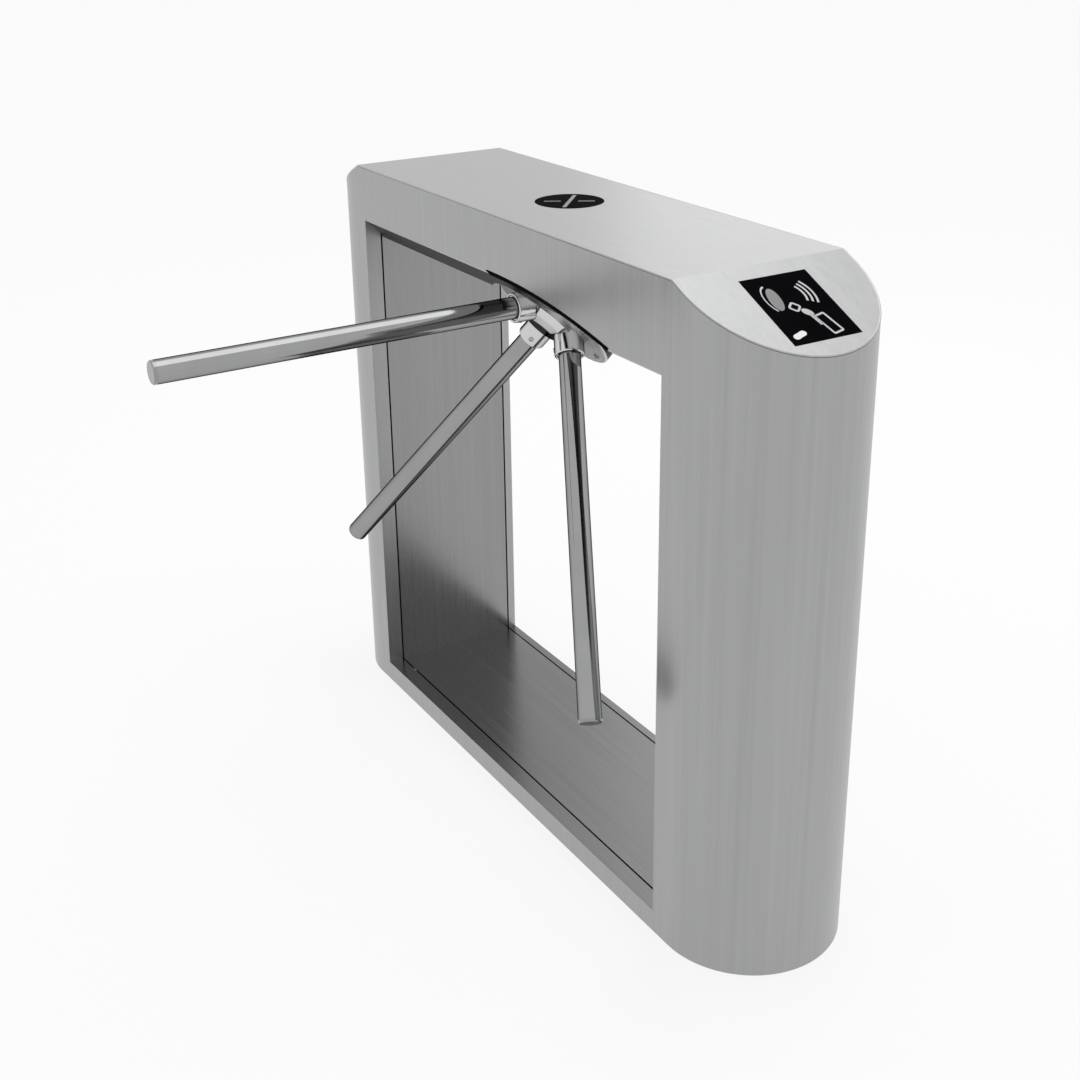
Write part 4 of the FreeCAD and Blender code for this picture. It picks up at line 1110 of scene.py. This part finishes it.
@dataclass
class Drive(Assembly):
    """Fixed pieces of the drive and brake inside the beam, with their fasteners."""

    axis: HubAxis = HubAxis()
    housing_ring: float = 0.051
    housing_face: float = 0.030
    housing_screws: int = 6
    outboard_ring: float = 0.069
    outboard_back: float = 0.122
    standoff_angles: tuple[float, ...] = (35.0, 145.0, 240.0)
    screw_radius: float = 0.0045
    screw_height: float = 0.005
    finishes: dict[str, tuple[str, ...]] = field(default_factory=lambda: {
        "shroud_steel": ("drum_front_plate", "drum_shroud"),
        "cast_alloy": ("bearing_housing", "bearing_spacer", "bearing_retainer"),
        "plain_steel": ("bulkhead_plate", "outboard_plate",
                        "plate_standoff_1", "plate_standoff_2", "plate_standoff_3"),
        "bearing_steel": ("front_bearing_outer_ring", "rear_bearing_outer_ring"),
        "black_paint": ("drive_motor", "brake_magnet"),
        "black_plastic": ("position_sensor_1", "position_sensor_2"),
    })

    def build(self, palette: Palette) -> list[Piece]:
        """Make the screws of the housing and the outboard plate, and return them."""
        screw = SocketScrews("drive_screw", self.screw_radius, self.screw_height)
        front = self.housing_face + self.screw_height / 2.0
        back = self.outboard_back + self.screw_height / 2.0
        spots = self.axis.screws(self.housing_ring, self.housing_screws, front, 0.0, 1.0)
        for angle in self.standoff_angles:
            spots.append((self.axis.at(self.outboard_ring, angle, back), self.axis.inwards()))
        piece = screw.grow("drive_screws", point_mesh("drive_spots", spots), palette["screw_steel"])
        return [mount(piece, Body.CABINET)]


@dataclass
class Electronics(Assembly):
    """Control board and power supply on the beam's floor."""

    hole_pitch: float = 0.0075
    hole_radius: float = 0.0022
    hole_margin: float = 0.012
    hole_lift: float = 0.0004
    terminal_pitch: float = 0.0105
    terminal_radius: float = 0.0028
    terminal_margin: float = 0.019
    terminal_inset: float = 0.006
    terminal_depth: float = 0.002
    terminal_height: float = 0.0012
    finishes: dict[str, tuple[str, ...]] = field(default_factory=lambda: {
        "circuit_board": ("control_board",), "supply_case": ("power_supply",)})

    def build(self, palette: Palette) -> list[Piece]:
        """Make the supply's vent holes and the board's terminal screws, and return them."""
        low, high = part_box("power_supply")
        size = high - low
        vents = HoleField("vent_field", size.x - 2.0 * self.hole_margin, size.y - 2.0 * self.hole_margin,
                          self.hole_pitch, self.hole_radius, self.hole_lift)
        middle = Vector(((low.x + high.x) / 2.0, (low.y + high.y) / 2.0, high.z))
        spot = path_mesh("vent_spot", [middle], False)
        field_piece = vents.grow("supply_vents", spot, palette["dark_hole"])
        low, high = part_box("control_board")
        count = int((high.x - low.x - 2.0 * self.terminal_margin) / self.terminal_pitch) + 1
        spots = []
        for edge in (low.y + self.terminal_inset, high.y - self.terminal_inset):
            for index in range(count):
                x = low.x + self.terminal_margin + index * self.terminal_pitch
                spots.append((Vector((x, edge, high.z - self.terminal_depth)), Vector((0.0, 0.0, 1.0))))
        screw = SocketScrews("terminal_screw", self.terminal_radius, self.terminal_height)
        screws = screw.grow("terminal_screws", point_mesh("terminal_spots", spots), palette["screw_steel"])
        return [mount(field_piece, Body.CABINET), mount(screws, Body.CABINET)]


@dataclass
class Studio:
    """Pale floor, soft light from above, white surroundings and the camera."""

    floor_half: float = 30.0
    floor_drop: float = 0.0006
    floor_colour: Colour = (0.9, 0.9, 0.9)
    floor_white: float = 0.82
    world_strength: float = 0.85
    white: tuple[float, ...] = (1.0, 1.0, 1.0, 1.0)
    softbox_size: float = 2.6
    softbox_place: Point = (-0.1, 0.9, 3.4)
    softbox_watts: float = 24.0
    panel_size: float = 1.7
    panel_place: Point = (-1.8, 2.3, 1.95)
    panel_watts: float = 5.2
    panel_target: Point = (0.45, 0.0, 0.98)
    camera_place: Point = (1.89989, -1.19876, 1.45886)
    azimuth: float = 59.01
    elevation: float = 21.35
    roll: float = -0.83
    focal_pixels: float = 1516.95
    frame_pixels: float = 1080.0
    sensor_mm: float = 36.0
    shift_y: float = -0.083

    def seen(self, graph: Graph) -> Socket:
        """Return an output that is 1 for what the camera, metal and glass see of the surroundings."""
        path = graph.node("ShaderNodeLightPath").outputs
        sight = graph.sum_of(path["Is Camera Ray"], path["Is Glossy Ray"], path["Is Transmission Ray"])
        return graph.maths("MINIMUM", sight, 1.0)

    def build_floor(self) -> Piece:
        """Make the floor, which shows white and keeps a soft shadow, and return it."""
        mesh = bpy.data.meshes.new("floor")
        half = self.floor_half
        corners = [(-half, -half), (half, -half), (half, half), (-half, half)]
        mesh.from_pydata([(x, y, -self.floor_drop) for x, y in corners], [], [(0, 1, 2, 3)])
        floor = stand("floor", mesh)
        material = bpy.data.materials.new("studio_floor")
        material.use_nodes = True
        graph = Graph(material.node_tree)
        graph.tree.nodes.clear()
        matt = graph.node("ShaderNodeBsdfDiffuse", {"Color": (*self.floor_colour, 1.0)})
        white = graph.node("ShaderNodeEmission", {"Color": self.white, "Strength": 1.0})
        share = graph.maths("MULTIPLY", self.seen(graph), self.floor_white)
        blend = graph.node("ShaderNodeMixShader", {0: share, 1: matt.outputs[0], 2: white.outputs[0]})
        graph.node("ShaderNodeOutputMaterial", {"Surface": blend.outputs[0]})
        mesh.materials.append(material)
        return floor

    def build_light(self) -> None:
        """Make the white surroundings and the soft light above."""
        world = bpy.data.worlds.new("studio")
        world.use_nodes = True
        graph = Graph(world.node_tree)
        graph.tree.nodes.clear()
        dim = graph.node("ShaderNodeBackground", {"Color": self.white, "Strength": self.world_strength})
        white = graph.node("ShaderNodeBackground", {"Color": self.white, "Strength": 1.0})
        blend = graph.node("ShaderNodeMixShader",
                           {0: self.seen(graph), 1: dim.outputs[0], 2: white.outputs[0]})
        graph.node("ShaderNodeOutputWorld", {"Surface": blend.outputs[0]})
        bpy.context.scene.world = world
        below = (self.softbox_place[0], self.softbox_place[1], 0.0)
        self.add_lamp("softbox", self.softbox_size, self.softbox_watts, self.softbox_place, below)
        self.add_lamp("rear_panel", self.panel_size, self.panel_watts, self.panel_place, self.panel_target)

    def add_lamp(self, name: str, size: float, watts: float, place: Point, target: Point) -> None:
        """Hang a square soft lamp.

        Args:
            name: Name of the lamp.
            size: Length of its sides.
            watts: Its power.
            place: Where its middle hangs.
            target: Point that it faces.
        """
        lamp = bpy.data.lights.new(name, "AREA")
        lamp.shape = "SQUARE"
        lamp.size = size
        lamp.energy = watts
        light = stand(name, lamp)
        light.location = place
        light.rotation_euler = (Vector(target) - Vector(place)).to_track_quat("-Z", "Y").to_euler()

    def build_camera(self) -> Piece:
        """Make the camera at the photograph's place, and return it."""
        turn, rise, roll = (math.radians(angle) for angle in (self.azimuth, self.elevation, self.roll))
        back = Vector((math.sin(turn) * math.cos(rise), -math.cos(turn) * math.cos(rise), math.sin(rise)))
        level = (-back).cross(Vector((0.0, 0.0, 1.0))).normalized()
        upright = level.cross(-back)
        right = level * math.cos(roll) + upright * math.sin(roll)
        up = right.cross(-back)
        lens = bpy.data.cameras.new("camera")
        lens.sensor_width = self.sensor_mm
        lens.lens = self.focal_pixels / self.frame_pixels * self.sensor_mm
        lens.shift_y = self.shift_y
        camera = stand("camera", lens)
        pose = Matrix((right, up, back)).transposed().to_4x4()
        camera.matrix_world = Matrix.Translation(self.camera_place) @ pose
        bpy.context.scene.camera = camera
        return camera

    def build(self) -> None:
        """Make the whole studio."""
        bpy.context.scene.view_settings.view_transform = "Standard"
        self.build_floor()
        self.build_light()
        self.build_camera()


def main() -> None:
    """Dress the part, add its pieces and set up the studio."""
    logging.basicConfig(level=logging.INFO, format="%(name)s: %(message)s")
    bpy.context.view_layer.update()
    palette = Palette()
    for assembly in (Cabinet(), Cover(), Rotor(), Drive(), Electronics()):
        assembly.dress(palette)
        made = assembly.build(palette)
        LOG.info("%s has %d pieces of its own", type(assembly).__name__, len(made))
    Studio().build()


if __name__ == "__main__":
    main()
